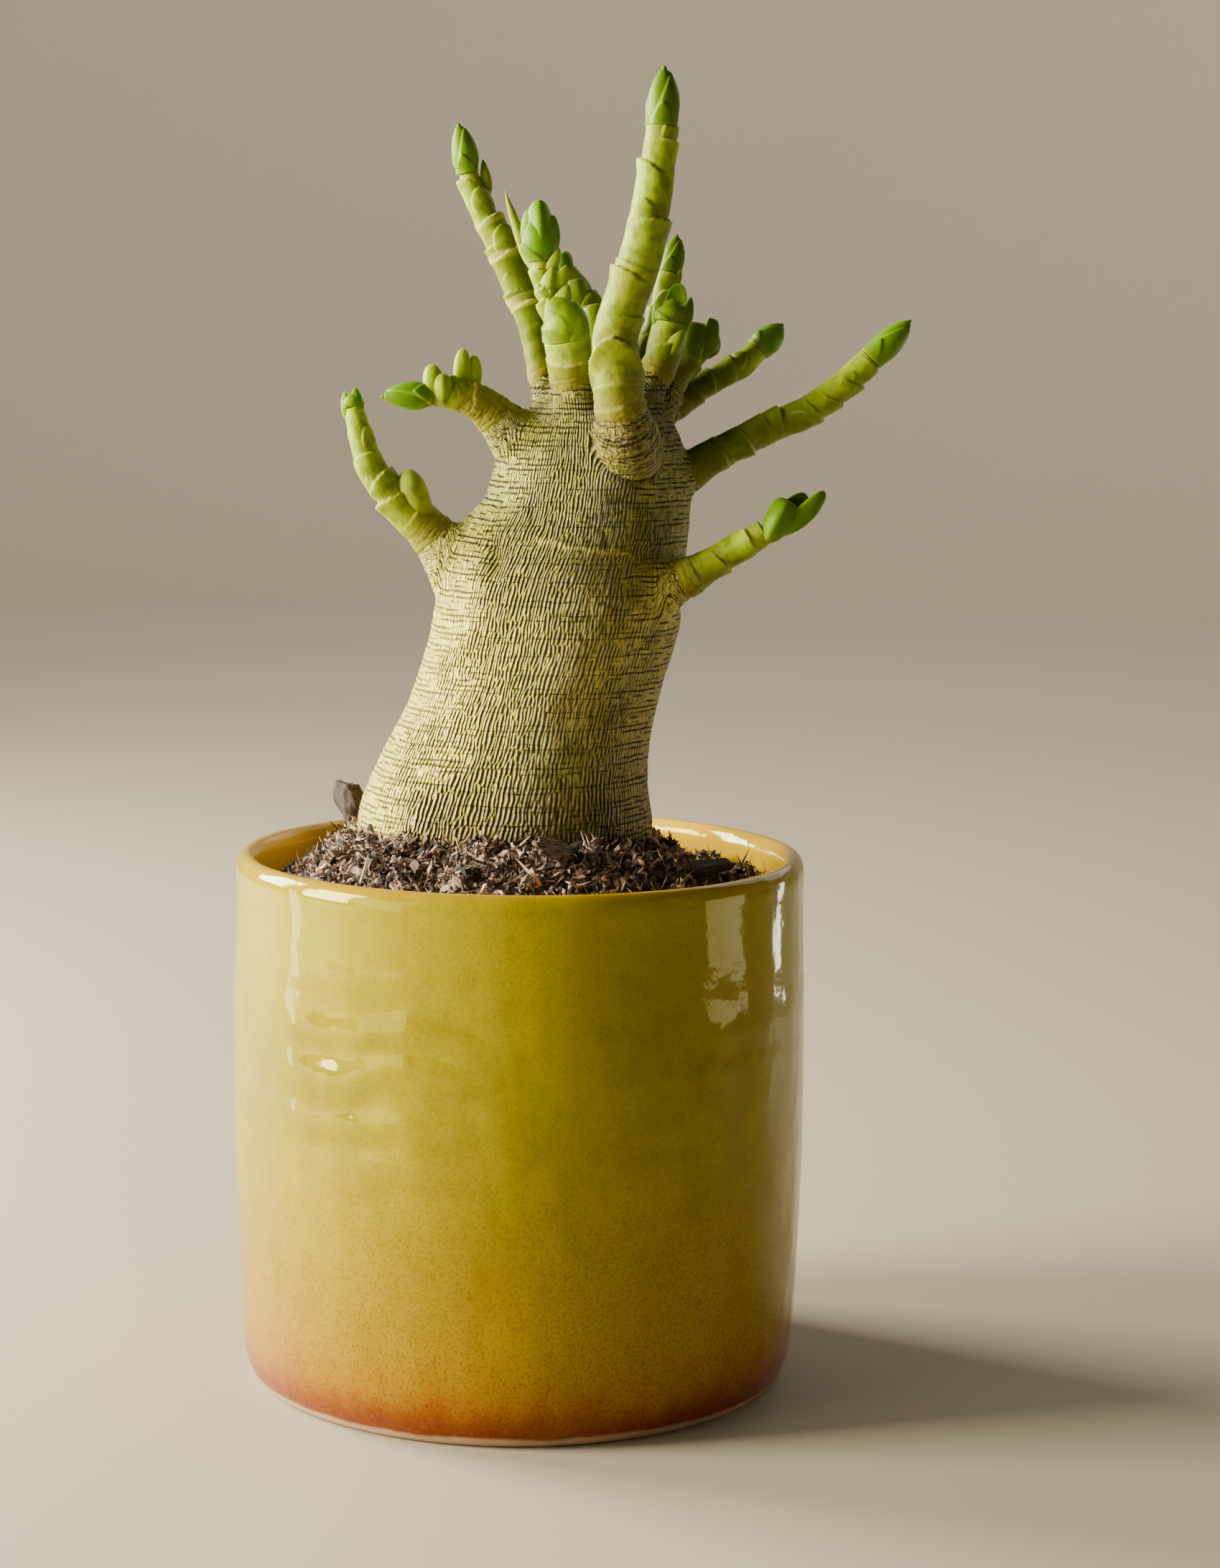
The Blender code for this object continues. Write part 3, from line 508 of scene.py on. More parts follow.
class CaudexSettings(bpy.types.PropertyGroup):
    """The swollen trunk and its net of wrinkles"""

    voxel: length_setting("Voxel", "Size of the mesh's faces", 0.00041)
    wrinkle: length_setting("Wrinkle depth", "Depth of the fine wrinkles", 0.00013)
    pale: colour_setting("Pale bark", "Bark on the ridges", (0.80, 0.665, 0.095))
    olive: colour_setting("Olive bark", "Bark in the older patches", (0.43, 0.360, 0.032))
    # The groove colour is painted shade in the wrinkles.
    wrinkle_shade: colour_setting("Groove", "Bark deep in the wrinkles", (0.034, 0.021, 0.002))


class ShootSettings(bpy.types.PropertyGroup):
    """The green shoots and their leaf scars"""

    young: colour_setting("Young green", "The stem near its tip", (0.30, 0.440, 0.001))
    old: colour_setting("Old green", "The stem near the trunk", (0.165, 0.182, 0.002))
    scar: colour_setting("Scar", "The papery rims of the leaf scars", (0.50, 0.46, 0.14))


class BudSettings(bpy.types.PropertyGroup):
    """The buds and young leaves"""

    leaf: colour_setting("Leaf", "The outer face of a young leaf", (0.084, 0.210, 0.0))
    light: colour_setting("Light leaf", "The foot of a leaf", (0.190, 0.290, 0.001))
    rim: colour_setting("Rim", "The margin of a leaf", (0.26, 0.38, 0.02))


class StageSettings(bpy.types.PropertyGroup):
    """The floor, the light and the camera"""

    floor: colour_setting("Floor", "The plain floor and backdrop", (0.362, 0.312, 0.232))
    key: power_setting("Key light", "Power of the large light on the left", 26.0)
    side: power_setting("Side light", "Power of the light on the left and behind", 21.0)
    wall: power_setting("Backdrop light", "Power of the light on the backdrop", 20.0)
    fill: power_setting("Fill light", "Power of the light on the right", 0.08)
    rim: power_setting("Rim light", "Power of the light behind", 0.7)
    strip: power_setting("Strip lights", "Power of each strip that shows in the glaze", 0.10)
    sky: FloatProperty(name="Sky", description="Strength of the even light all round", default=0.03, min=0.0)


# Shader nodes

# The sockets of a Mix node that mixes colours, by number, because several share a name.
MIX_SHARE = 0
MIX_FIRST = 6
MIX_SECOND = 7
MIX_COLOUR = 2


class Wire:
    """A number from a node. Python's + - * / on it add Math nodes."""

    def __init__(self, surface, socket):
        self.surface = surface
        self.socket = socket

    def math(self, operation, *others):
        values = dict(enumerate((self, *others)))
        return self.surface.node("ShaderNodeMath", {"operation": operation}, values)

    def __add__(self, other):
        return self.math("ADD", other)

    def __sub__(self, other):
        return self.math("SUBTRACT", other)

    def __rsub__(self, other):
        return self.math("MULTIPLY", -1.0).math("ADD", other)

    def __mul__(self, other):
        return self.math("MULTIPLY", other)

    def __truediv__(self, other):
        return self.math("DIVIDE", other)

    def __abs__(self):
        return self.math("ABSOLUTE")

    __radd__ = __add__
    __rmul__ = __mul__


class Surface:
    """A material under construction."""

    def __init__(self, name):
        self.material = bpy.data.materials.new(name)
        self.material.use_nodes = True
        self.tree = self.material.node_tree
        self.shader = self.tree.nodes["Principled BSDF"]

    def node(self, kind, settings=None, values=None, output=0):
        """Adds a node: its settings first, then the values or links of its sockets. Returns one output."""
        made = self.tree.nodes.new(kind)
        for key, value in (settings or {}).items():
            setattr(made, key, value)
        for key, value in (values or {}).items():
            self.feed(made.inputs[key], value)
        return Wire(self, made.outputs[output])

    def feed(self, socket, value):
        if isinstance(value, Wire):
            self.tree.links.new(value.socket, socket)
        elif socket.type == "RGBA" and len(value) == 3:
            socket.default_value = (*value, 1.0)
        else:
            socket.default_value = value

    def set(self, **values):
        """Sets sockets of the shader, whose names have _ for each space."""
        for key, value in values.items():
            self.feed(self.shader.inputs[key.replace("_", " ")], value)

    def place(self, scale=(1.0, 1.0, 1.0)):
        """The point on the object, in metres, times a scale."""
        return self.scaled(self.node("ShaderNodeTexCoord", output="Object"), scale)

    def attribute(self, name, output="Fac"):
        return self.node("ShaderNodeAttribute", {"attribute_name": name}, output=output)

    def scaled(self, vector, scale):
        return self.node("ShaderNodeVectorMath", {"operation": "MULTIPLY"}, {0: vector, 1: scale})

    def noise(self, vector, scale, detail=2.0, roughness=0.5):
        values = {"Vector": vector, "Scale": scale, "Detail": detail, "Roughness": roughness}
        return self.node("ShaderNodeTexNoise", None, values)

    def between(self, value, low, high):
        """0 at low and 1 at high, smooth, and the other way round where low is the larger."""
        start, end = (0.0, 1.0) if low < high else (1.0, 0.0)
        values = {"Value": value, "From Min": min(low, high), "From Max": max(low, high)}
        values.update({"To Min": start, "To Max": end})
        return self.node("ShaderNodeMapRange", {"interpolation_type": "SMOOTHSTEP"}, values)

    def mix(self, share, first, second):
        kind = {"data_type": "RGBA", "clamp_factor": True}
        values = {MIX_SHARE: share, MIX_FIRST: first, MIX_SECOND: second}
        return self.node("ShaderNodeMix", kind, values, output=MIX_COLOUR)

    def bump(self, height, distance, normal=None):
        values = {"Height": height, "Distance": distance, "Strength": 1.0}
        if normal is not None:
            values["Normal"] = normal
        return self.node("ShaderNodeBump", None, values)

    def height(self):
        """The height of the point over the table, in metres."""
        here = self.node("ShaderNodeTexCoord", output="Object")
        return self.node("ShaderNodeSeparateXYZ", None, {"Vector": here}, output="Z")


# Colours of the glaze beside those in its settings.
GLAZE_LOW = (0.265, 0.146, 0.0)
GLAZE_STIPPLE = (0.12, 0.075, 0.0)
GLAZE_SPECK = (0.27, 0.105, 0.002)
# The inside's own amber glaze, made paler as painted light on the inner wall.
GLAZE_INSIDE_LIT = (0.60, 0.36, 0.008)
GLAZE_SHEEN = (1.0, 0.90, 0.28, 1.0)
EMBER = (0.205, 0.042, 0.001)
RUST_SPECK = (0.25, 0.062, 0.006)
CLAY_SHADE = (0.31, 0.17, 0.10)
# Heights in metres between which each of them comes in.
LOW_FROM_TO = (0.066, 0.016)
BRIGHT_FROM_TO = (0.066, 0.092)
EMBER_FROM_TO = (0.0200, 0.0060)
RUST_FROM_TO = (0.0105, 0.0048)
CLAY_FROM_TO = (0.0026, 0.0018)


def glaze_material(pot):
    """A glossy ash glaze: mottled, stippled, amber on the lip, paler amber inside with painted light, rust
    at the foot, bare clay below.
    """
    s = Surface("pot_glaze")
    z = s.height()
    ragged = s.noise(s.place(), 180.0, 4.0, 0.6)
    cloud = s.noise(s.place((1.0, 1.0, 0.7)), 34.0, 4.0, 0.62)
    mottle = s.noise(s.place(), 210.0, 4.0, 0.65)
    stipple = s.between(s.noise(s.place(), 2500.0, 2.0, 0.6), 0.48, 0.68)
    coarse = s.between(s.noise(s.place(), 1500.0, 3.0, 0.65), 0.46, 0.68)
    lower = s.between(z + cloud * 0.02, *LOW_FROM_TO)
    colour = s.mix(s.between(cloud + mottle * 0.5, 0.42, 1.02), tuple(pot.glaze), tuple(pot.bright))
    colour = s.mix(s.between(z + cloud * 0.03, *BRIGHT_FROM_TO) * 0.6, colour, tuple(pot.bright))
    colour = s.mix(lower * 0.75, colour, GLAZE_LOW)
    colour = s.mix(stipple * (lower * 0.5 + 0.34), colour, GLAZE_STIPPLE)
    colour = s.mix(coarse * 0.35 * lower, colour, GLAZE_SPECK)
    lip = s.between(z + ragged * 0.0016, pot.height - 0.0016, pot.height + 0.0006)
    colour = s.mix(lip * 0.45, colour, tuple(pot.amber))
    # The inside's own amber glaze, made paler as painted light on the inner wall.
    colour = s.mix(s.attribute("inside") * 0.95, colour, GLAZE_INSIDE_LIT)
    ember = s.between(z + ragged * 0.010 - stipple * 0.0030, *EMBER_FROM_TO)
    colour = s.mix(ember * 0.85, colour, EMBER)
    rust = s.between(z + ragged * 0.006 - stipple * 0.0016, *RUST_FROM_TO)
    colour = s.mix(rust * 0.95, colour, s.mix(coarse * 0.5, tuple(pot.rust), RUST_SPECK))
    bare = s.between(z + ragged * 0.0012, *CLAY_FROM_TO)
    clay = s.mix(stipple * 0.5, tuple(pot.clay), CLAY_SHADE)
    s.set(Base_Color=s.mix(bare, colour, clay))
    s.set(Roughness=0.065 + stipple * 0.07 + rust * 0.14 + bare * 0.5)
    s.set(IOR=1.46, Specular_Tint=GLAZE_SHEEN)
    wave = s.bump(s.noise(s.place((1.0, 1.0, 0.6)), 70.0) + s.noise(s.place(), 260.0) * 0.10, 0.00065)
    pits = s.noise(s.place(), 900.0) + bare * s.noise(s.place(), 2600.0, 3.0)
    s.set(Normal=s.bump(pits, 0.000012, wave))
    return s.material


# How many ridges run up the trunk in each of the two waves that cross, and how much they lean.
RIDGE_COUNT = (184, 173)
RIDGE_SLANT = 0.55
# The height in mm from one level wrinkle to the next, in each of its two waves.
LEVEL_SPACING = (0.70, 0.93)
# The strength of the second wave beside the first.
SECOND_WAVE = 0.9
# Level wrinkles: their gain, their lift, and where they are cut off below and above.
LEVEL_GAIN = 1.6
LEVEL_LIFT = 0.7
LEVEL_LOW = -1.0
LEVEL_HIGH = 0.45
# The breaks that they leave in the upright ridges: their lift and their depth.
GAP_LIFT = 0.30
GAP_LOW = -0.7
# Colours of the bark beside those in its settings.
BARK_YOUNG = (0.285, 0.300, 0.030)
BARK_BASE = (0.175, 0.115, 0.007)
BARK_CROWN = (0.125, 0.110, 0.008)
# Painted highlight on the ridge tops.
BARK_RIDGE_HIGHLIGHT = (1.0, 0.86, 0.20)
# Painted light on the side towards the key light, which the pale weal shares.
BARK_LIT_SIDE_AND_WEAL = (0.84, 0.71, 0.12)
BARK_BROWN = (0.120, 0.085, 0.005)
# Painted highlight on the ridge tops of the brown bark by the front collar.
BARK_BROWN_HIGHLIGHT = (0.33, 0.26, 0.025)
# Painted shade on the side away from the key light.
BARK_SHADED_SIDE = (0.125, 0.088, 0.005)
# Painted shade in the folds, the dimple and the crease round the front collar.
BARK_CREASE_SHADE = (0.06, 0.036, 0.006)
# Heights in metres between which the darker base and crown come in, and the height of the middle.
BASE_FROM_TO = (0.1180, 0.0940)
CROWN_FROM_TO = (0.1420, 0.1500)
TRUNK_MIDDLE = 0.112


def bark_material(caudex):
    """Pale wrinkled bark, with painted highlight on its ridge tops, painted light on its lit side, and
    painted shade in its wrinkles, its creases and on its shaded side. Its stripes repeat those of the mesh,
    from the phases that the mesh carries.
    """
    s = Surface("caudex_bark")
    z = s.height()
    flow = s.attribute("flow", "Vector")
    parts = [s.node("ShaderNodeSeparateXYZ", None, {"Vector": flow}, axis) for axis in "XY"]
    turn = parts[0].math("ARCTAN2", parts[1] * -1.0)
    across = s.attribute("across")
    young = s.attribute("young")

    def waves(first, second):
        return (first.math("COSINE") + second.math("COSINE") * SECOND_WAVE) / (1.0 + SECOND_WAVE)

    first, second = RIDGE_COUNT
    upright = waves(turn * first + s.attribute("warp"), turn * second + s.attribute("twist"))
    level = waves(s.attribute("level"), s.attribute("slope")) * LEVEL_GAIN + LEVEL_LIFT
    gaps = (level + GAP_LIFT).math("MINIMUM", 0.0).math("MAXIMUM", GAP_LOW)
    level = level.math("MINIMUM", LEVEL_HIGH).math("MAXIMUM", LEVEL_LOW)
    relief = (upright + gaps) * (1.0 - across) + level * across
    grain = s.noise(s.place((1.0, 1.0, 0.5)), 1300.0, 3.0, 0.65)
    relief = relief + (grain - 0.5) * 1.3
    # Painted shade in the wrinkles and painted highlight on the ridge tops, both from the relief.
    wrinkle_shade = s.between(relief, 0.05, -0.65)
    ridge_highlight = s.between(relief, 0.20, 0.80)
    patch = s.noise(s.place(), 75.0, 4.0, 0.6)
    spots = s.noise(s.place(), 420.0, 3.0, 0.6)
    middle = s.between(abs(z + patch * 0.01 - TRUNK_MIDDLE), 0.030, 0.006)
    olive = s.between(patch + spots * 0.3 - middle * 0.40, 0.15, 0.60)
    colour = s.mix(olive, tuple(caudex.pale), tuple(caudex.olive))
    colour = s.mix(young * 0.78, colour, BARK_YOUNG)
    colour = s.mix(s.between(z + patch * 0.022, *BASE_FROM_TO) * 0.84, colour, BARK_BASE)
    colour = s.mix(s.between(z, *CROWN_FROM_TO) * 0.60, colour, BARK_CROWN)
    # Painted highlight on the ridge tops, strongest round the middle of the trunk.
    colour = s.mix(ridge_highlight * (0.50 + middle * 0.34) * (1.0 - young * 0.4), colour, BARK_RIDGE_HIGHLIGHT)
    # Painted light on the side towards the key light, and the pale weal of the scar.
    sunny = s.attribute("sunny")
    colour = s.mix(sunny * 0.78, colour, BARK_LIT_SIDE_AND_WEAL)
    # Brown bark by the front collar, with painted highlight on its ridge tops.
    colour = s.mix(s.attribute("brown") * 0.70, colour, s.mix(ridge_highlight, BARK_BROWN, BARK_BROWN_HIGHLIGHT))
    # Painted shade on the side away from the key light.
    colour = s.mix(s.attribute("lee") * 0.50, colour, BARK_SHADED_SIDE)
    # Painted shade in the wrinkles, weaker on the lit side.
    colour = s.mix(wrinkle_shade * (0.88 - sunny * 0.42), colour, tuple(caudex.wrinkle_shade))
    # Painted shade in the folds, the dimple and the crease round the front collar.
    colour = s.mix(s.attribute("deep") * 0.75, colour, BARK_CREASE_SHADE)
    s.set(Base_Color=colour)
    s.set(Roughness=0.46 + wrinkle_shade * 0.3 + grain * 0.1, Specular_IOR_Level=0.35)
    s.set(Normal=s.bump(relief, 0.00125))
    return s.material


# Colours of the shoots and the buds beside those in their settings.
GREEN_CLOUD = (0.080, 0.110, 0.003)
GREEN_SHADE = (0.055, 0.085, 0.002)
GREEN_SPECK = (0.14, 0.12, 0.02)
GREEN_SHEEN = (0.9, 1.0, 0.35, 1.0)
GREEN_DEPTHS = (0.6, 1.0, 0.10)
STEM_BARK = (0.25, 0.225, 0.032)
STEM_BARK_DARK = (0.155, 0.138, 0.011)
STEM_RINGS = (0.13, 0.10, 0.012)
LEAF_TIP = (0.17, 0.055, 0.02)


def green_material(name, low, high, scar, rough):
    """Smooth green skin, with streaks along the shoot, papery scars, bark where it is old, and painted shade
    above the scars and on darkened stems and buds.
    """
    s = Surface(name)
    grain = s.attribute("grain", "Vector")
    streak = s.noise(s.scaled(grain, (1.0, 1.0, 0.16)), 2.4, 3.0, 0.6)
    cloud = s.noise(grain, 0.45, 3.0)
    speck = s.noise(grain, 5.5)
    fresh = s.attribute("fresh")
    pale = s.attribute("pale")
    bark = s.attribute("bark")
    colour = s.mix(fresh, low, high)
    colour = s.mix(s.between(streak, 0.46, 0.72) * 0.40, colour, s.mix(0.5, colour, scar))
    colour = s.mix(s.between(cloud, 0.46, 0.62) * 0.75 * (1.0 - fresh * 0.5), colour, GREEN_CLOUD)
    # Painted shade above the scars and on darkened stems and buds; on some leaves and stub tips the same
    # mark is their own darker green.
    colour = s.mix(s.attribute("shade") * 0.65, colour, GREEN_SHADE)
    colour = s.mix(s.between(speck, 0.60, 0.74) * 0.25, colour, GREEN_SPECK)
    skin = s.mix(s.between(streak + speck * 0.6, 0.65, 0.95), STEM_BARK, STEM_BARK_DARK)
    rings = s.between(s.noise(s.scaled(grain, (0.25, 0.25, 1.6)), 1.0, 3.0), 0.44, 0.56)
    skin = s.mix(rings * 0.35, skin, STEM_RINGS)
    colour = s.mix(bark, colour, skin)
    colour = s.mix(s.attribute("brown"), colour, LEAF_TIP)
    colour = s.mix(pale * (0.55 + speck * 0.6), colour, scar)
    s.set(Base_Color=colour)
    s.set(Roughness=rough + bark * 0.25 + pale * 0.25 + speck * 0.1)
    s.set(Subsurface_Weight=0.12, Subsurface_Radius=GREEN_DEPTHS, Subsurface_Scale=0.0014)
    s.set(Specular_IOR_Level=0.20, Specular_Tint=GREEN_SHEEN)
    s.set(Normal=s.bump(streak + speck * 0.3 + rings * bark, 0.00003))
    return s.material


# The palest fibres, among the relief of the mix and among its loose crumbs.
MIX_FIBRE = (0.33, 0.23, 0.17)
CRUMB_FIBRE = (0.46, 0.33, 0.24)


def mix_material(name, soil, fibre):
    """Crumbly matter whose crumbs differ in tone. On the mix itself the tone is painted shade, darker in the
    hollows of its relief.
    """
    dark, light = tuple(soil.dark), tuple(soil.light)
    s = Surface(name)
    tone = s.attribute("tone")
    grit = s.noise(s.place(), 1500.0, 3.0, 0.65)
    strand = s.noise(s.place((1.0, 1.0, 0.2)), 2200.0)
    colour = s.mix(s.between(tone + grit * 0.5, 0.25, 1.15), dark, light)
    colour = s.mix(s.between(tone, 0.93, 0.97), colour, fibre)
    colour = s.mix(s.between(strand, 0.52, 0.66) * 0.3, colour, dark)
    s.set(Base_Color=colour)
    s.set(Roughness=0.80 + grit * 0.15)
    s.set(Normal=s.bump(grit + strand * 0.4, 0.00018))
    return s.material


# Colours of the bark chips, from their grooves out. The last is painted shade on the chips that lie in the
# shade.
CHIP_GROOVE = (0.030, 0.017, 0.012)
CHIP_FACE = (0.26, 0.165, 0.115)
CHIP_GRIT = (0.085, 0.045, 0.030)
CHIP_SHADE = (0.020, 0.012, 0.009)


def chip_material():
    """Weathered bark with its grain along each chip, and painted shade on the chips that lie in the shade.
    """
    s = Surface("bark_chip")
    grain = s.attribute("grain", "Vector")
    lines = s.noise(s.scaled(grain, (0.25, 2.2, 2.2)), 1.0, 4.0, 0.6)
    grit = s.noise(grain, 3.0, 3.0)
    colour = s.mix(s.between(lines, 0.38, 0.64), CHIP_GROOVE, CHIP_FACE)
    colour = s.mix(s.between(grit, 0.5, 0.7) * 0.5, colour, CHIP_GRIT)
    # Painted shade on the chips that lie in the shade.
    colour = s.mix(s.attribute("dull") * 0.88, colour, CHIP_SHADE)
    s.set(Base_Color=colour)
    s.set(Roughness=0.78 + grit * 0.15)
    s.set(Normal=s.bump(lines + grit * 0.3, 0.0003))
    return s.material


def floor_material(stage):
    """A plain pale floor with a trace of texture."""
    s = Surface("floor")
    cloud = s.noise(s.place(), 9.0, 3.0)
    colour = tuple(stage.floor)
    s.set(Base_Color=s.mix(cloud * 0.2, colour, tuple(value * 0.94 for value in colour)))
    s.set(Roughness=0.62 + cloud * 0.1)
    return s.material


# Mesh tools


def deselect_all():
    if bpy.context.mode != "OBJECT":
        bpy.ops.object.mode_set(mode="OBJECT")
    bpy.ops.object.select_all(action="DESELECT")


def select_only(obj):
    deselect_all()
    obj.select_set(True)
    bpy.context.view_layer.objects.active = obj


def edit_all():
    """Goes into edit mode with the whole mesh selected."""
    bpy.ops.object.mode_set(mode="EDIT")
    bpy.ops.mesh.select_all(action="SELECT")


def select_border():
    """Selects only the open edges of the mesh."""
    bpy.ops.mesh.select_all(action="DESELECT")
    bpy.ops.mesh.select_non_manifold()


def extrude_ring(old, new):
    """Extrudes the selected ring of edges from one (radius, height) to another, which it returns."""
    bpy.ops.mesh.extrude_edges_move(TRANSFORM_OT_translate={"value": (0.0, 0.0, new[1] - old[1])})
    scale = new[0] / old[0]
    bpy.ops.transform.resize(value=(scale, scale, 1.0), center_override=(0.0, 0.0, new[1]))
    return new


def close_ring():
    """Closes the selected ring of edges with a fan."""
    bpy.ops.mesh.extrude_edges_move()
    bpy.ops.mesh.merge(type="CENTER")


def points_of(obj):
    found = np.empty(len(obj.data.vertices) * 3, np.float32)
    obj.data.vertices.foreach_get("co", found)
    return found.reshape(-1, 3).astype(float)


def move_points(obj, points):
    obj.data.vertices.foreach_set("co", np.ascontiguousarray(points, np.float32).ravel())
    obj.data.update()


def mark(obj, **fields):
    """Stores a number or a vector for each point, for the material to read."""
    for name, values in fields.items():
        values = np.asarray(values, np.float32)
        kind, key = ("FLOAT", "value") if values.ndim == 1 else ("FLOAT_VECTOR", "vector")
        layer = obj.data.attributes.get(name) or obj.data.attributes.new(name, kind, "POINT")
        layer.data.foreach_set(key, np.ascontiguousarray(values).ravel())


def join(objects, name):
    """Joins the objects into the first."""
    select_only(objects[0])
    for obj in objects[1:]:
        obj.select_set(True)
    if len(objects) > 1:
        bpy.ops.object.join()
    objects[0].name = name
    objects[0].data.name = name
    return objects[0]


def weld(obj, distance=1e-6):
    """Merges the seam and the poles, and turns the faces outwards."""
    select_only(obj)
    edit_all()
    bpy.ops.mesh.remove_doubles(threshold=distance)
    bpy.ops.mesh.normals_make_consistent(inside=False)
    bpy.ops.object.mode_set(mode="OBJECT")


def apply_modifier(obj, name, kind, **settings):
    made = obj.modifiers.new(name, kind)
    for key, value in settings.items():
        setattr(made, key, value)
    select_only(obj)
    bpy.ops.object.modifier_apply(modifier=name)


def finish_piece(obj, material, nodes):
    """Smooth shading, its material, the solids that it stands for and the body it rides on."""
    select_only(obj)
    bpy.ops.object.shade_smooth()
    obj.data.materials.clear()
    obj.data.materials.append(material)
    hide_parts(*nodes)
    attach(obj, "root")
    return obj


def noise_at(points, scale, shift=0.0):
    """Smooth noise, about -1 to 1, at each point divided by the scale."""
    places = (points / np.asarray(scale) + shift).tolist()
    return np.array([noise.noise(place) for place in places])


def step_between(values, low, high):
    """0 at low and 1 at high, smooth, for arrays."""
    share = np.clip((values - low) / (high - low), 0.0, 1.0)
    return share * share * (3.0 - 2.0 * share)


def hump(values, width):
    """1 at zero, falling off to both sides over the width, for arrays."""
    return np.exp(-((values / width) ** 2))


def unit(vectors):
    return vectors / np.linalg.norm(vectors, axis=-1, keepdims=True)


def wrapped(turn):
    """The same turn, from minus to plus half a turn."""
    return (turn + math.pi) % FULL_TURN - math.pi


def on_round(radius, turn, where):
    """A place for each point round a stalk, for noise that follows it."""
    return np.stack([radius * np.cos(turn), radius * np.sin(turn), where], axis=1)


# Steps in mm: between the samples of a stalk's centre line, and when its nearest place is looked for.
SAMPLE_STEP = 0.3
SEARCH_STEP = 0.5


class Stalk:
    """A smooth centre line in millimetres, with its radius and its front and side directions."""

    def __init__(self, points, joint=0):
        rows = np.array(points, float)
        rows = np.vstack([2 * rows[0] - rows[1], rows, 2 * rows[-1] - rows[-2]])
        samples, starts = [], []
        for a, b, c, d in zip(rows, rows[1:], rows[2:], rows[3:]):
            starts.append(len(samples))
            count = max(2, round(np.linalg.norm(c[:3] - b[:3]) / SAMPLE_STEP))
            for t in np.arange(count) / count:
                bend = (2 * a - 5 * b + 4 * c - d) * t**2 + (3 * b - a - 3 * c + d) * t**3
                samples.append(0.5 * (2 * b + (c - a) * t + bend))
        samples = np.array([*samples, rows[-2]])
        centre = samples[:, :3]
        walked = np.concatenate([[0.0], np.cumsum(np.linalg.norm(np.diff(centre, axis=0), axis=1))])
        self.where = walked - walked[starts[joint]]
        along = unit(np.gradient(centre, axis=0))
        front = unit(FRONT - along * (along @ FRONT)[:, None])
        self.table = np.hstack([samples, front, np.cross(along, front), along])
        self.start, self.end = self.where[0], self.where[-1]

    def at(self, where):
        """Centre, radius, front, side and direction at each distance."""
        found = np.stack([np.interp(where, self.where, column) for column in self.table.T], axis=-1)
        return found[..., :3], found[..., 3], found[..., 4:7], found[..., 7:10], found[..., 10:13]

    def nearest(self, points, start, end):
        """The nearest distance up the stalk to each point, and how far outside the radius the point is."""
        where = np.arange(start, end, SEARCH_STEP)
        centre, radius, *_ = self.at(where)
        gaps = np.linalg.norm(points[:, None] - centre[None], axis=2) - radius[None]
        best = gaps.argmin(axis=1)
        return where[best], gaps[np.arange(len(points)), best]


def tube(name, stalk, start, end, ring, around, form):
    """A closed tube up a stalk. form(where, turn, radius) gives the radius in mm and the marks."""
    deselect_all()
    rings = max(3, math.ceil((end - start) / ring))
    bpy.ops.mesh.primitive_grid_add(x_subdivisions=around, y_subdivisions=rings, size=1.0)
    obj = bpy.context.object
    obj.name = name
    flat = points_of(obj)
    turn = (flat[:, 0] + 0.5) * FULL_TURN
    share = flat[:, 1] + 0.5
    where = start + share * (end - start)
    centre, radius, front, side, _ = stalk.at(where)
    radius, marks = form(where, turn, radius)
    radius = np.where((share < 0.5 / rings) | (share > 1.0 - 0.5 / rings), 0.0, radius)
    ray = front * np.cos(turn)[:, None] + side * np.sin(turn)[:, None]
    move_points(obj, (centre + ray * radius[:, None]) * MM)
    mark(obj, grain=on_round(np.maximum(radius, 0.5), turn, where), **marks)
    weld(obj)
    return obj


def facing(origin, way, turn):
    """A matrix at origin with +Z along way and -Y as near the front as it can be, then turned about way."""
    up = Vector(way).normalized()
    back = (Vector((0.0, 1.0, 0.0)) - up * up.y).normalized()
    basis = Matrix((back.cross(up), back, up)).transposed().to_4x4()
    return Matrix.Translation(Vector(origin)) @ basis @ Matrix.Rotation(turn, 4, "Z")


def transform(points, matrix):
    table = np.array(matrix)
    return points @ table[:3, :3].T + table[:3, 3]


# How a leaf widens from its foot.
LEAF_FOOT = 0.42
# How far a leaf's outer face, its inner face and its keel stand out, as shares of its half width.
LEAF_OUTER = 0.72
LEAF_INNER = 0.22
LEAF_KEEL = 0.07
# How far the middle of a side leaf and of a bud leaf bows out, as shares of its length.
SIDE_LEAF_BOW = 0.06
BUD_LEAF_BOW = 0.08
# How many faces go round a side leaf and a bud leaf.
SIDE_LEAF_FACES = 28
BUD_LEAF_FACES = 36


def outline(up, tip):
    """The half width of an almond leaf at a share of its length, 1 at its widest."""
    widest = LEAF_FOOT / (LEAF_FOOT + tip)
    return up**LEAF_FOOT * (1.0 - up) ** tip / (widest**LEAF_FOOT * (1.0 - widest) ** tip)


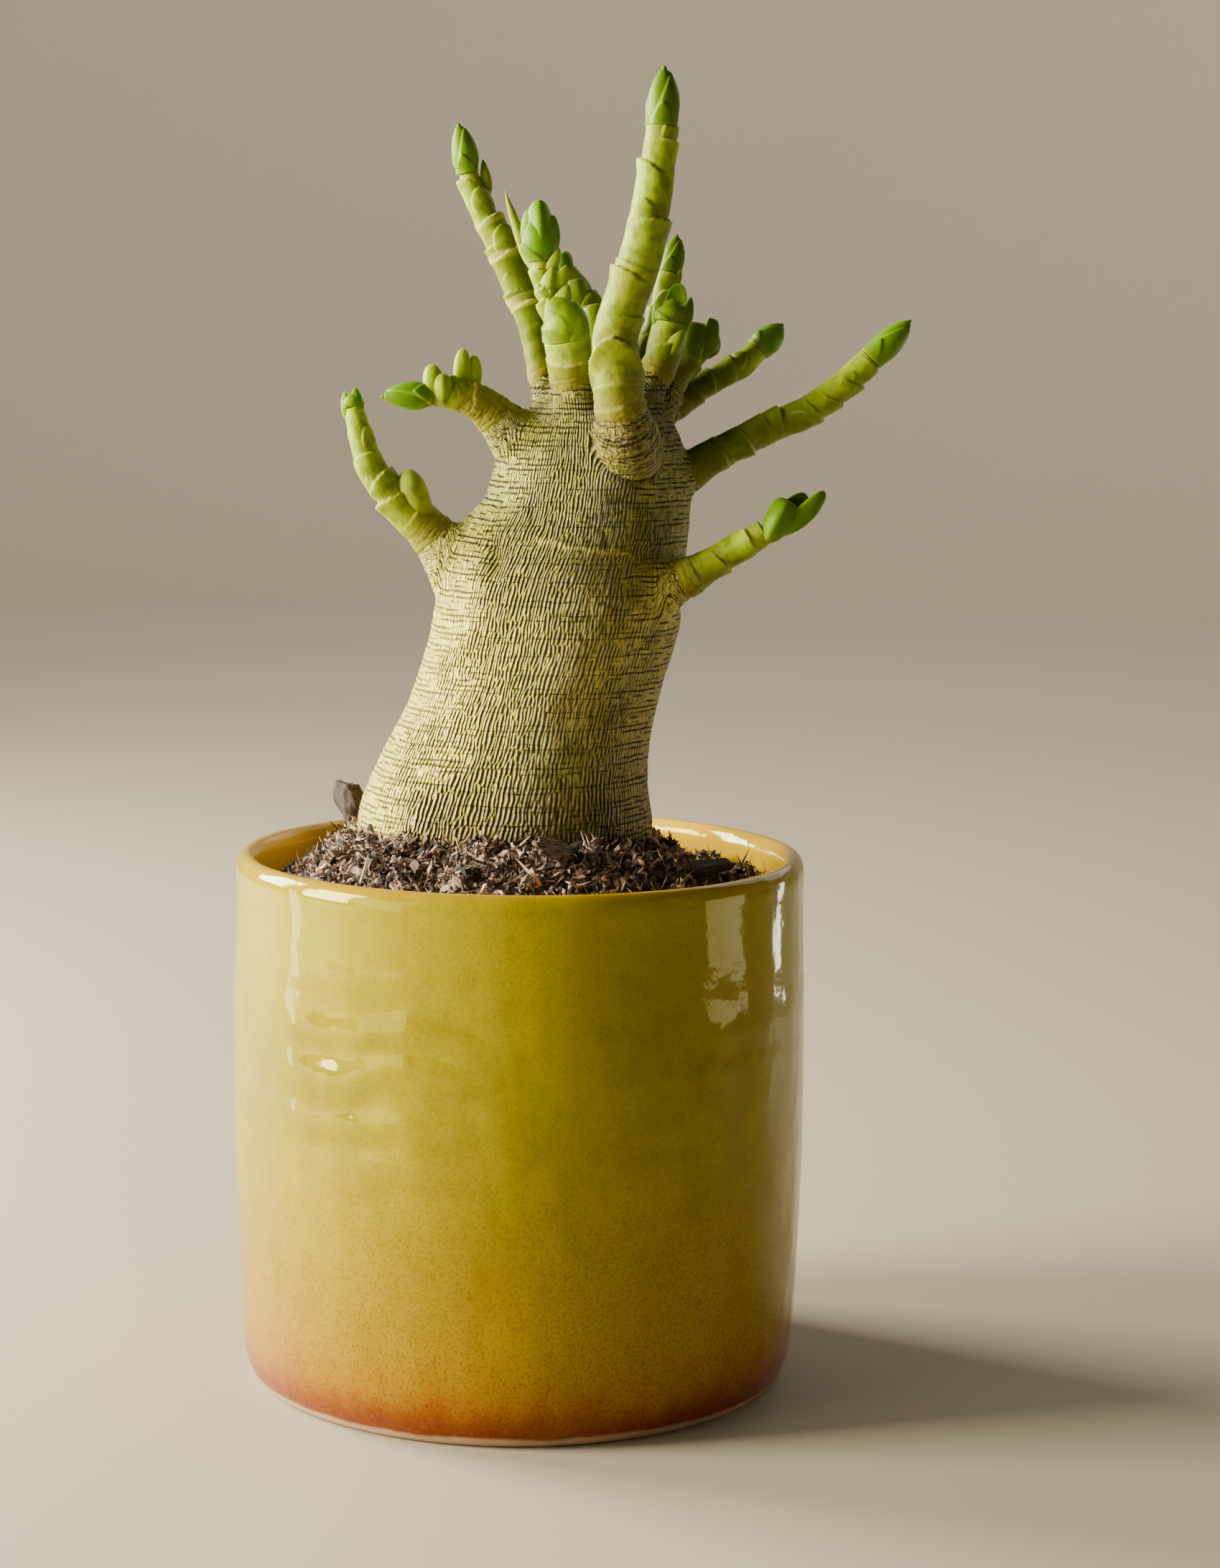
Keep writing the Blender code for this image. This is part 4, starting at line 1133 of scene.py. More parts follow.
def leaf(foot, tip, width, shape, cup, turn, bulge=LEAF_OUTER, bow=SIDE_LEAF_BOW, faces=SIDE_LEAF_FACES):
    """A thick young leaf from foot to tip. Without a turn, its outer face is to the front."""
    foot, tip = Vector(foot), Vector(tip)
    length = (tip - foot).length
    deselect_all()
    bpy.ops.mesh.primitive_uv_sphere_add(segments=faces, ring_count=faces * 3 // 4, radius=1.0)
    obj = bpy.context.object
    ball = points_of(obj)
    up = np.clip(0.5 + 0.5 * ball[:, 2], 0.0, 1.0)
    around = np.arctan2(ball[:, 1], ball[:, 0])
    sine, cosine = np.sin(around), np.cos(around)
    pole = np.hypot(ball[:, 0], ball[:, 1]) < 1e-4
    half = np.where(pole, 0.0, 0.5 * width * outline(up, shape))
    x = half * cosine
    outer = np.clip(-sine, 0.0, 1.0)
    keel = LEAF_KEEL * half * hump(cosine, 0.25) * outer
    y = -half * outer * bulge + half * np.clip(sine, 0.0, 1.0) * LEAF_INNER - keel
    y += cup * x * x / (0.5 * width) - bow * length * np.sin(math.pi * up)
    place = np.stack([x, y, length * up], axis=1)
    y += 0.05 * noise_at(place, 1.3, width)
    place[:, 1] = y
    move_points(obj, transform(place, facing(foot, tip - foot, math.radians(turn))) * MM)
    rim = step_between(np.abs(cosine), 0.93, 1.0) * step_between(up, 0.2, 0.5)
    rim = np.maximum(rim, 0.7 * step_between(up, 0.95, 1.0))
    mark(
        obj,
        grain=place,
        fresh=step_between(up, 0.02, 0.40),
        pale=np.maximum(rim * 0.6, 0.45 * step_between(-up, -0.2, 0.0)),
        bark=np.zeros(len(up)),
        brown=0.5 * step_between(up, 0.985, 1.0),
    )
    return obj


# Pieces

# Lengths of the pot, in metres. SIDE_STEP is the height from one ring of its side's mesh to the next.
POT_SEGMENTS = 112
SIDE_STEP = 0.0023
# How much nearer the middle the outside of the rim is than the widest part.
RIM_INSET = 0.0003
# How far down from its top the lip is round.
LIP_ROUND = 0.0027
# The turn, in radians from +X, of the side whose throwing rings are deepest.
THUMBED = math.radians(-122.0)
# The throwing rings: the height of the deepest, the height from one to the next, and half their depth.
RING_HEIGHT = 0.057
RING_SPACING = 0.0072
RING_DEPTH = 0.00030
# How far the side sways inwards, and how far the rim dips.
SWAY_DEPTH = 0.00026
RIM_DIP = 0.00022


def pot_profile(pot):
    """The pot's section as (radius, height): under the foot, up the outside, over the lip, down inside."""
    wide = pot.width / 2
    lip = pot.wall / 2
    foot = [(0.028, 0.0008), (0.0330, 0.0008), (0.0350, 0.0006), (0.0362, 0.0001), (0.0380, 0.0)]
    bevel = [(0.0046, 0.0), (0.0038, 0.0002), (0.0030, 0.0009), (0.0022, 0.0022), (0.0014, 0.0048)]
    bevel = [(wide - inwards, height) for inwards, height in bevel]
    heights = np.arange(0.009, 0.0782, SIDE_STEP)
    taper_at = (0.009, 0.016, 0.026, 0.038, 0.060, 0.078)
    taper = np.interp(heights, taper_at, (0.0010, 0.0006, 0.0003, 0.0, 0.0, 0.0005))
    side = list(zip((wide - taper).tolist(), heights.tolist()))
    centre_r, centre_z = wide - RIM_INSET - lip, pot.height - LIP_ROUND
    arc = []
    for degrees in range(-15, 196, 30):
        around = math.radians(degrees)
        arc.append((centre_r + lip * math.cos(around), centre_z + LIP_ROUND * math.sin(around)))
    inner = centre_r - lip
    wall = [(inner, 0.078), (inner, 0.070), (inner - 0.0004, 0.045), (0.0385, 0.012)]
    return [*foot, *bevel, *side, *arc, *wall, (0.0360, 0.0065), (0.0320, 0.0052), (0.012, 0.0050)]


def make_pot(pot):
    """The pot: its section spun by rings of edges, rounded, then pressed in by the potter's hand."""
    ring, *steps = pot_profile(pot)
    deselect_all()
    bpy.ops.mesh.primitive_circle_add(
        vertices=POT_SEGMENTS, radius=ring[0], fill_type="NOTHING", location=(0.0, 0.0, ring[1])
    )
    obj = bpy.context.object
    obj.name = obj.data.name = "pot_glazed"
    bpy.ops.object.transform_apply(location=True, rotation=True, scale=True)
    edit_all()
    close_ring()
    select_border()
    for step in steps:
        ring = extrude_ring(ring, step)
    close_ring()
    bpy.ops.object.mode_set(mode="OBJECT")
    weld(obj, 1e-7)
    apply_modifier(obj, "round", "SUBSURF", levels=1, render_levels=1)
    points = points_of(obj)
    away = np.hypot(points[:, 0], points[:, 1])
    turn = np.arctan2(points[:, 1], points[:, 0])
    z = points[:, 2]
    flat = on_round(1.0, turn, z * 18.0)
    sway = 0.5 + 0.5 * noise_at(flat, 0.9) + 0.18 * noise_at(flat * (1, 1, 3), 0.35, 5.0)
    rings = FULL_TURN * (z - RING_HEIGHT) / RING_SPACING
    rings += 2.4 * noise_at(points / MM, (12.0, 12.0, 8.0), 2.0)
    hand = hump(wrapped(turn - THUMBED), 0.27) * step_between(z, 0.030, 0.042)
    hand = 0.10 + 0.90 * hand * step_between(-z, -0.075, -0.067)
    hand *= 0.45 + 0.70 * hump(z - RING_HEIGHT, 0.0090)
    hand *= np.clip(1.0 + 0.8 * noise_at(points / MM, (8.0, 8.0, 5.0), 6.0), 0.2, 1.4)
    inwards = SWAY_DEPTH * np.clip(sway, 0.0, 1.2) + RING_DEPTH * hand * (1.0 + np.sin(rings))
    inwards *= step_between(z, 0.001, 0.012) * (away > 0.02)
    points[:, :2] *= (1.0 - inwards / np.maximum(away, 1e-6))[:, None]
    dip = RIM_DIP * (0.5 + 0.5 * noise_at(on_round(1.0, turn, turn * 0), 0.8, 3.0))
    points[:, 2] -= dip * step_between(points[:, 2], 0.070, 0.083)
    move_points(obj, points)
    wall_middle = pot.width / 2 - RIM_INSET - pot.wall / 2
    inner = 1.0 - step_between(away, wall_middle - 0.0008, wall_middle + 0.0004)
    inner *= points[:, 2] > 0.004
    mark(obj, inside=inner)
    return finish_piece(obj, glaze_material(pot), ["pot"])


# The mound of mix round the trunk, in millimetres.
MOUND_CENTRE = np.array([-4.0, -5.0])
MOUND_RADIUS = 36.0
MOUND_HEIGHT = 7.6
# The height and the radius of the mix at its edge, in millimetres.
SOIL_EDGE = 79.9
SOIL_RADIUS = 40.9
# Its lumps: (depth, size, where they are taken in the noise). How far it falls on the right and on the left.
SOIL_LUMPS = ((1.3, 9.0, 0.0), (1.7, 4.2, 7.0), (0.9, 2.1, 3.0))
LOW_RIGHT = 2.2
LOW_LEFT = 3.2
# How thick the piece of mix is, in metres, and how many faces it has each way.
SOIL_DEPTH = 0.009
SOIL_GRID = 190


def soil_height(flat):
    """Height of the mix in mm under points of (x, y) in mm."""
    away = np.linalg.norm(flat - MOUND_CENTRE, axis=1) / MOUND_RADIUS
    mound = MOUND_HEIGHT * np.clip(1.0 - away**4, 0.0, 1.0)
    place = np.column_stack([flat, np.zeros(len(flat))])
    lumps = sum(depth * noise_at(place, size, shift) for depth, size, shift in SOIL_LUMPS)
    low_right = LOW_RIGHT * step_between(flat[:, 0], 8.0, 32.0) * step_between(flat[:, 1], -26.0, -6.0)
    low_left = LOW_LEFT * step_between(-flat[:, 0], 24.0, 37.0) * step_between(flat[:, 1], -32.0, -12.0)
    return SOIL_EDGE + mound + lumps - low_right - low_left


def make_soil(soil):
    """The mix: a disc of crumbs with a dense relief, closed below."""
    deselect_all()
    bpy.ops.mesh.primitive_grid_add(x_subdivisions=SOIL_GRID, y_subdivisions=SOIL_GRID, size=2.0)
    obj = bpy.context.object
    obj.name = obj.data.name = "potting_mix"
    square = points_of(obj)
    x, y = square[:, 0], square[:, 1]
    disc = np.column_stack([x * np.sqrt(1 - y * y / 2), y * np.sqrt(1 - x * x / 2)]) * SOIL_RADIUS
    place = np.column_stack([disc, np.zeros(len(disc))])
    crumb = np.abs(noise_at(place, 1.5, 3.0)) * 1.5 + 0.8 * noise_at(place, 0.75, 9.0)
    rim = 1.0 - step_between(np.hypot(disc[:, 0], disc[:, 1]), SOIL_RADIUS - 0.3, SOIL_RADIUS)
    top = soil_height(disc) + crumb * rim - 0.5
    move_points(obj, np.column_stack([disc, top]) * MM)
    # Painted shade: the mix is darker where its relief is low and lighter on its bumps.
    mark(obj, tone=np.clip(0.18 + 0.35 * crumb, 0.0, 0.6))
    bpy.ops.object.mode_set(mode="EDIT")
    select_border()
    bpy.ops.mesh.extrude_edges_move(TRANSFORM_OT_translate={"value": (0.0, 0.0, -SOIL_DEPTH)})
    bpy.ops.mesh.edge_face_add()
    bpy.ops.mesh.select_all(action="SELECT")
    bpy.ops.mesh.normals_make_consistent(inside=False)
    bpy.ops.object.mode_set(mode="OBJECT")
    material = mix_material("potting_mix", soil, MIX_FIBRE)
    return finish_piece(obj, material, ["soil"])


# Each kind of crumb: its stretch, its roughness, its share of all, its size and its lightness.
CRUMB_KINDS = [
    ((1.0, 0.7, 0.55), 1.0, 0.32, 0.9, 0.88),
    ((1.7, 0.5, 0.42), 1.1, 0.44, 1.0, 0.90),
    ((1.4, 1.0, 0.22), 1.0, 0.07, 1.1, 0.60),
    ((2.8, 0.24, 0.20), 0.9, 0.14, 1.3, 1.0),
    ((1.2, 0.85, 0.6), 1.2, 0.03, 2.0, 0.50),
]
CRUMB_SEED = 41
# How much crumbs differ in size, and the most that one may be, times the usual.
CRUMB_SPREAD = 0.42
CRUMB_MOST = 2.4
# How far a crumb may be turned about X and Y, and about Z, in radians.
CRUMB_TURNS = np.array((2.4, 2.4, 6.3))
# How far crumbs lie above the mix: the least, and the usual beyond that, in millimetres.
CRUMB_LIFT = 0.15
CRUMB_PILE = 0.45
# How near the trunk they pile up, by how much at the most, and how far they may go into it, in millimetres.
TRUNK_NEAR = 1.2
TRUNK_PILE = 0.7
TRUNK_INSIDE = 0.4
# The height in millimetres where the trunk comes out of the mix.
TRUNK_FOOT = 86.5
# How much rarer light crumbs are than dark ones, as a power.
CRUMB_DARKER = 1.7


def crumb_shape(stretch, rough, seed):
    """The points and faces of one small irregular crumb, modelled once."""
    deselect_all()
    bpy.ops.mesh.primitive_ico_sphere_add(subdivisions=1, radius=0.5)
    obj = bpy.context.object
    points = points_of(obj)
    points *= 1.0 + rough * noise_at(points, 0.45, seed)[:, None]
    points *= np.array(stretch)
    faces = np.array([list(face.vertices) for face in obj.data.polygons])
    bpy.data.objects.remove(obj)
    return points, faces


def scatter(name, parts):
    """One mesh of many copies. Each part is (shape, matrices, tones)."""
    all_points, all_faces, tones, count = [], [], [], 0
    for (points, faces), matrices, shades in parts:
        for matrix, shade in zip(matrices, shades):
            all_points.append(transform(points, matrix))
            all_faces.append(faces + count)
            tones.append(np.full(len(points), shade))
            count += len(points)
    mesh = bpy.data.meshes.new(name)
    corners = np.concatenate(all_faces)
    mesh.from_pydata(np.concatenate(all_points).tolist(), [], corners.tolist())
    obj = bpy.data.objects.new(name, mesh)
    bpy.context.scene.collection.objects.link(obj)
    mark(obj, tone=np.concatenate(tones))
    return obj


def make_crumbs(soil):
    """Crumbs, fibres and small clods on the mix, thickest against the trunk."""
    rng = np.random.default_rng(CRUMB_SEED)
    trunk = Stalk(CAUDEX_PATH)
    at_mix, _ = trunk.nearest(np.array([[0.0, 0.0, TRUNK_FOOT]]), trunk.start, trunk.end)
    centre, radius, *_ = trunk.at(at_mix)
    stretches, roughs, shares, sizes, lightness = zip(*CRUMB_KINDS)
    shapes = [crumb_shape(*kind, i + 1.0) for i, kind in enumerate(zip(stretches, roughs))]
    groups = [([], []) for _ in shapes]
    made = 0
    while made < soil.crumbs:
        flat = (rng.random(2) * 2 - 1) * SOIL_RADIUS
        size = soil.crumb_size / MM * min(CRUMB_MOST, math.exp(rng.normal(0.0, CRUMB_SPREAD)))
        kind = rng.choice(len(shapes), p=shares)
        size *= sizes[kind]
        away = math.hypot(*flat)
        from_trunk = math.hypot(flat[0] - centre[0, 0], flat[1] - centre[0, 1]) - radius[0]
        if away > SOIL_RADIUS - size * 0.75 or from_trunk < -TRUNK_INSIDE:
            continue
        height = soil_height(flat[None])[0] + CRUMB_LIFT + abs(rng.normal(0.0, CRUMB_PILE))
        if from_trunk < TRUNK_NEAR:
            height += rng.random() * TRUNK_PILE
        turn = Euler(rng.random(3) * CRUMB_TURNS - CRUMB_TURNS * (0.5, 0.5, 0.0)).to_matrix().to_4x4()
        matrix = Matrix.Translation(Vector((*flat, height)) * MM) @ turn @ Matrix.Scale(size * MM, 4)
        groups[kind][0].append(matrix)
        groups[kind][1].append(rng.random() ** CRUMB_DARKER * lightness[kind])
        made += 1
    obj = scatter("mix_crumbs", [(shape, *group) for shape, group in zip(shapes, groups)])
    material = mix_material("mix_crumb", soil, CRUMB_FIBRE)
    finish_piece(obj, material, [])
    bpy.ops.object.shade_flat()
    return obj


def make_bark_chips():
    """Torn chips of bark, with layered grain and broken ends."""
    material = chip_material()
    for i, (name, (place, size, turns)) in enumerate(BARK_CHIPS.items()):
        deselect_all()
        bpy.ops.mesh.primitive_ico_sphere_add(subdivisions=4, radius=1.0)
        obj = bpy.context.object
        obj.name = obj.data.name = "chip_" + name
        ball = points_of(obj)
        slab = np.sign(ball) * np.abs(ball) ** (0.8, 0.7, 0.9)
        torn = 1.0 + 0.26 * noise_at(ball, 0.55, i * 7.0)
        layers = 0.10 * noise_at(ball * (0.5, 2.5, 2.5), 0.5, i * 3.0) + 0.05 * noise_at(ball, 0.14, i * 5.0)
        shape = slab * np.array(size) * (torn + layers)[:, None]
        shape[:, 2] += 0.18 * size[2] * noise_at(shape * (0.3, 1.6, 0.0), 1.0, i * 4.0)
        turn = Euler([math.radians(a) for a in turns]).to_matrix().to_4x4()
        move_points(obj, transform(shape, Matrix.Translation(place) @ turn) * MM)
        # Painted shade on the left and right chips, which lie in the shade.
        mark(obj, grain=shape, dull=np.full(len(shape), 0.0 if name == "front" else 1.0))
        finish_piece(obj, material, ["bark_chip_" + name])


def plain_tube(name, stalk, start, end, around, ring):
    """A plain closed tube, for fusing."""
    return tube(name, stalk, start, end, ring, around, lambda where, turn, radius: (radius, {}))


def stripes(first, second):
    """Two waves that cross, so that each ridge is short and forks. -1 to 1."""
    return (np.cos(first) + SECOND_WAVE * np.cos(second)) / (1.0 + SECOND_WAVE)


# The dimple in the upper trunk: its middle, its spread along each axis and its depth, in millimetres.
DIMPLE = (np.array([-4.9, -17.0, 131.2]), np.array([1.35, 4.0, 3.4]))
DIMPLE_DEPTH = 2.3
# The scar across the upper trunk: its height, how it falls to the right of an x, and its width.
WEAL_HEIGHT = 133.2
WEAL_FALL = 0.15
WEAL_X = 2.0
WEAL_WIDTH = 0.34
# How far the scar stands out, and how deep the long folds and the crease round the front collar are.
WEAL_DEPTH = 0.45
FOLD_DEPTH = 0.17
CREASE_DEPTH = 0.8
# How far past its joint each collar of bark runs, in millimetres.
COLLAR_END = 1.4
# A gap larger than any, in millimetres.
FAR = 99.0


def nearest_collar(points):
    """For each point, the number of its nearest collar, the distance up that one, and the gap to it."""
    number = np.full(len(points), -1)
    along = np.zeros(len(points))
    gaps = np.full(len(points), FAR)
    for index, shoot in enumerate(SHOOTS.values()):
        stalk = Stalk(shoot["path"], shoot["joint"])
        where, gap = stalk.nearest(points, stalk.start, COLLAR_END)
        nearer = gap < gaps
        number[nearer] = index
        along[nearer] = where[nearer]
        gaps[nearer] = gap[nearer]
    return number, along, gaps


def caudex_relief(points, caudex):
    """How far each point of the trunk's skin moves out, in mm, and the fields for its material."""
    trunk = Stalk(CAUDEX_PATH)
    height = points[:, 2]
    heights = trunk.table[:, 2]
    middle = np.stack([np.interp(height, heights, trunk.table[:, axis]) for axis in (0, 1)], axis=1)
    arm = points[:, :2] - middle
    turn = np.arctan2(arm[:, 0], -arm[:, 1])
    flow = np.stack([20 * np.sin(turn), -20 * np.cos(turn), height], axis=1)
    _, outside = trunk.nearest(points, trunk.start, trunk.end)
    mask = 1.25 * np.abs(np.sin(turn)) - 0.80 + 0.45 * noise_at(flow, (11.0, 11.0, 7.0), 4.0)
    mask += 0.25 * step_between(height, 138.0, 146.0) + 0.6 * step_between(height, 146.0, 152.0)
    across = 0.75 * step_between(mask, -0.15, 0.25)

    collar, along_branch, collar_gap = nearest_collar(points)
    branch = step_between(outside, 0.3, 2.4) * step_between(collar_gap, 3.0, 1.2)
    near_joint = step_between(along_branch, -6.0, 0.0) * branch
    joint_heights = np.array([shoot["path"][shoot["joint"]][2] for shoot in SHOOTS.values()])

    slant = RIDGE_SLANT * height + 6.5 * noise_at(flow, (2.4, 2.4, 6.0), 61.0)
    warp = slant + 2.7 * noise_at(flow, (1.3, 1.3, 1.7), 1.0)
    warp += 3.6 * noise_at(flow, (4.0, 4.0, 6.0), 12.0)
    twist = 2.9 * noise_at(flow, (1.2, 1.2, 1.5), 23.0) - slant
    twist += 3.8 * noise_at(flow, (5.0, 5.0, 7.0), 31.0)
    rise = (1.0 - branch) * height + branch * (1.35 * along_branch + joint_heights[collar])
    wander = 1.9 * noise_at(flow, (2.6, 2.6, 1.0), 6.0) + 2.2 * noise_at(flow, 8.0, 44.0)
    drift = 2.2 * noise_at(flow, (2.0, 2.0, 0.9), 17.0) + 2.0 * noise_at(flow, 7.0, 51.0)
    across = np.clip(across + branch, 0.0, 1.0)
    fields = {
        "flow": flow,
        "warp": warp,
        "twist": twist,
        "level": rise * FULL_TURN / LEVEL_SPACING[0] + wander,
        "slope": rise * FULL_TURN / LEVEL_SPACING[1] + drift,
        "across": across,
    }
    upright = stripes(RIDGE_COUNT[0] * turn + warp, RIDGE_COUNT[1] * turn + twist)
    level = LEVEL_GAIN * stripes(fields["level"], fields["slope"]) + LEVEL_LIFT
    gaps = np.clip(level + GAP_LIFT, GAP_LOW, 0.0)
    relief = 0.5 * (1.0 - across) * (upright + gaps) + across * np.clip(level, LEVEL_LOW, LEVEL_HIGH)
    out = caudex.wrinkle / MM * relief * (0.85 + 0.5 * noise_at(flow, 6.0, 3.0))

    fold = noise_at(flow, (12.0, 12.0, 1.9), 9.0)
    folds = step_between(-np.abs(fold), -0.07, -0.01)
    folds *= step_between(noise_at(flow, (7.0, 7.0, 5.0), 15.0), -0.25, 0.2)
    out -= FOLD_DEPTH * folds
    out += 0.25 * noise_at(flow, 8.0, 2.0) * (1 - branch) + 0.12 * noise_at(flow, 3.4, 8.0) - 0.10
    centre, spread = DIMPLE
    dimple = np.exp(-(((points - centre) / spread) ** 2).sum(1))
    out -= DIMPLE_DEPTH * dimple
    weal = height - WEAL_HEIGHT + WEAL_FALL * (points[:, 0] - WEAL_X) + 0.5 * noise_at(flow, 2.5, 33.0)
    weal = hump(weal, WEAL_WIDTH) * (points[:, 1] < 0.0)
    weal *= step_between(points[:, 0], 0.5, 3.0) * step_between(-points[:, 0], -18.0, -14.0)
    out += WEAL_DEPTH * weal
    front_collar = collar == list(SHOOTS).index("front_tall")
    edge = hump(outside - 1.1, 0.45) * step_between(outside - collar_gap, -1.0, 1.0)
    out -= CREASE_DEPTH * edge * front_collar * step_between(-points[:, 1], 8.0, 13.0)
    young = 0.80 * step_between(height, 118.0, 142.0) + 0.20 * step_between(height, 143.0, 149.0)
    fields["young"] = np.clip(young + near_joint, 0.0, 1.0)
    # Painted shade on the side away from the key light, weaker on the upper trunk.
    lee = step_between(np.sin(turn) + 0.35 * noise_at(flow, (8.0, 8.0, 12.0), 90.0), 0.25, 0.95)
    fields["lee"] = lee * (1.0 - 0.7 * step_between(height, 116.0, 132.0))
    # Painted shade in the folds, the dimple and the crease round the front collar.
    fields["deep"] = np.clip(folds * 0.6 + edge * front_collar + 0.7 * dimple, 0.0, 1.0)
    fields["brown"] = branch * front_collar * step_between(-along_branch, -0.5, 2.5)
    # Painted light: the side towards the key light is paler, below the crown and away from the collars. The
    # pale weal of the scar shares this mark.
    sunny = step_between(-np.sin(turn) + 0.35 * noise_at(flow, (9.0, 9.0, 14.0), 70.0), 0.35, 0.85)
    sunny *= (1.0 - branch) * step_between(-height, -136.0, -114.0)
    fields["sunny"] = np.maximum(sunny, 1.8 * weal)
    return out, fields


# The size in metres of the faces on which the trunk and its collars are fused.
FUSE_VOXEL = 0.0008
# Heights in metres: where the buried root is cut off, and between which the relief comes in.
CUT_HEIGHT = 0.0775
RELIEF_FROM_TO = (0.0776, 0.0800)


def make_caudex(caudex):
    """The trunk and a collar for each shoot, fused, filleted and wrinkled."""
    trunk = Stalk(CAUDEX_PATH)
    pieces = [plain_tube("trunk", trunk, trunk.start, trunk.end, 64, 1.0)]
    for name, shoot in SHOOTS.items():
        stalk = Stalk(shoot["path"], shoot["joint"])
        pieces.append(plain_tube("collar_" + name, stalk, stalk.start, COLLAR_END, 28, 0.5))
    obj = join(pieces, "caudex_bark")
    apply_modifier(obj, "fuse", "REMESH", mode="VOXEL", voxel_size=FUSE_VOXEL)
    apply_modifier(obj, "fillet", "SMOOTH", factor=0.5, iterations=9)
    apply_modifier(obj, "refine", "REMESH", mode="VOXEL", voxel_size=caudex.voxel)
    apply_modifier(obj, "even", "SMOOTH", factor=0.5, iterations=6)
    select_only(obj)
    edit_all()
    cut = (0.0, 0.0, CUT_HEIGHT)
    bpy.ops.mesh.bisect(plane_co=cut, plane_no=(0.0, 0.0, 1.0), use_fill=True, clear_inner=True)
    bpy.ops.object.mode_set(mode="OBJECT")
    points = points_of(obj)
    normals = np.empty(len(points) * 3, np.float32)
    obj.data.vertex_normals.foreach_get("vector", normals)
    out, fields = caudex_relief(points / MM, caudex)
    out *= step_between(points[:, 2], *RELIEF_FROM_TO)
    move_points(obj, points + normals.reshape(-1, 3) * out[:, None] * MM)
    mark(obj, **fields)
    return finish_piece(obj, bark_material(caudex), ["caudex"])


# Leaf scars, in millimetres: the swelling below one and how far down it reaches, and how far the rise
# above it reaches.
SCAR_SWELL = 1.2
SCAR_BELOW = 1.9
SCAR_ABOVE = 1.5
# How far the papery rim of a scar stands out, and its width.
RIM_PROUD = 0.09
RIM_WIDTH = 0.20
# The shadow above a scar: how far up it lies, and its width.
SHADOW_UP = 1.5
SHADOW_WIDTH = 1.1


def add_nodes(nodes, where, turn, radius, out, pale, dark):
    """Leaf scars: the segment below swells and ends in a pale papery rim, and the next rises behind it, with
    a painted shadow just above the rim.
    """
    ragged = noise_at(on_round(radius, turn, where), 0.7)
    for place, centre, tilt, bulge, rim in nodes:
        toward = np.cos(turn - math.radians(centre))
        arch = np.where(toward > 0.0, toward, 0.3 * toward)
        past = where - place - tilt * radius * arch + 0.10 * ragged
        below = hump(np.minimum(past, 0.0), SCAR_BELOW) * (past <= 0.0)
        above = np.exp(-np.maximum(past, 0.0) / SCAR_ABOVE) * (past > 0.0)
        lip = hump(past + 0.5 * RIM_WIDTH, RIM_WIDTH)
        share = np.clip(0.40 + 0.60 * toward, 0.0, 1.0)
        out += SCAR_SWELL * bulge * share * (below - 0.5 * above)
        out += RIM_PROUD * rim * lip * share * (0.7 + ragged)
        pale[:] = np.maximum(pale, rim * lip * np.clip(0.75 + 0.9 * ragged, 0.0, 1.0) * share)
        pale[:] = np.maximum(pale, 0.35 * rim * above * share)
        # Painted shadow just above the rim.
        shadow = share * hump(past - SHADOW_UP, SHADOW_WIDTH) * np.clip(0.7 + 0.8 * ragged, 0.0, 1.0)
        dark[:] = np.maximum(dark, shadow)


def add_scales(scales, where, turn, radius, out, pale):
    """Young leaves pressed to the shoot: a pointed arch that stands proud at its tip, with a pale margin."""
    for place, centre, length, width, lift, roundness in scales:
        up = np.clip((where - place) / length, 0.0, 1.0)
        within = (where > place) & (where < place + length)
        half = np.maximum(0.5 * width * (1.0 - up**roundness) ** 0.75, 1e-3)
        side = np.abs(wrapped(turn - math.radians(centre))) * radius / half
        inside = step_between(-side, -1.0, -0.90) * within
        rise = step_between(up, 0.0, 0.55)
        out += lift * inside * rise * (0.8 + 0.25 * (1.0 - np.minimum(side, 1.0) ** 2))
        margin = hump(side - 0.97, 0.07) * within * rise
        pale[:] = np.maximum(pale, 0.7 * margin)


def dark_and_shade_of(shoot):
    """How much darker the lower stem and the bud are: partly their own darker green, partly painted shade.
    """
    return shoot.get("dark_and_shade", (0.0, 0.0))


# How far in a stem is sunk where it starts, how deep its rings of bark are, how far a papery band stands out
# and how soft the band's ends are, in millimetres.
STEM_SUNK = 0.6
STEM_RING_DEPTH = 0.16
SLEEVE_PROUD = 0.12
SLEEVE_EDGE = 0.3


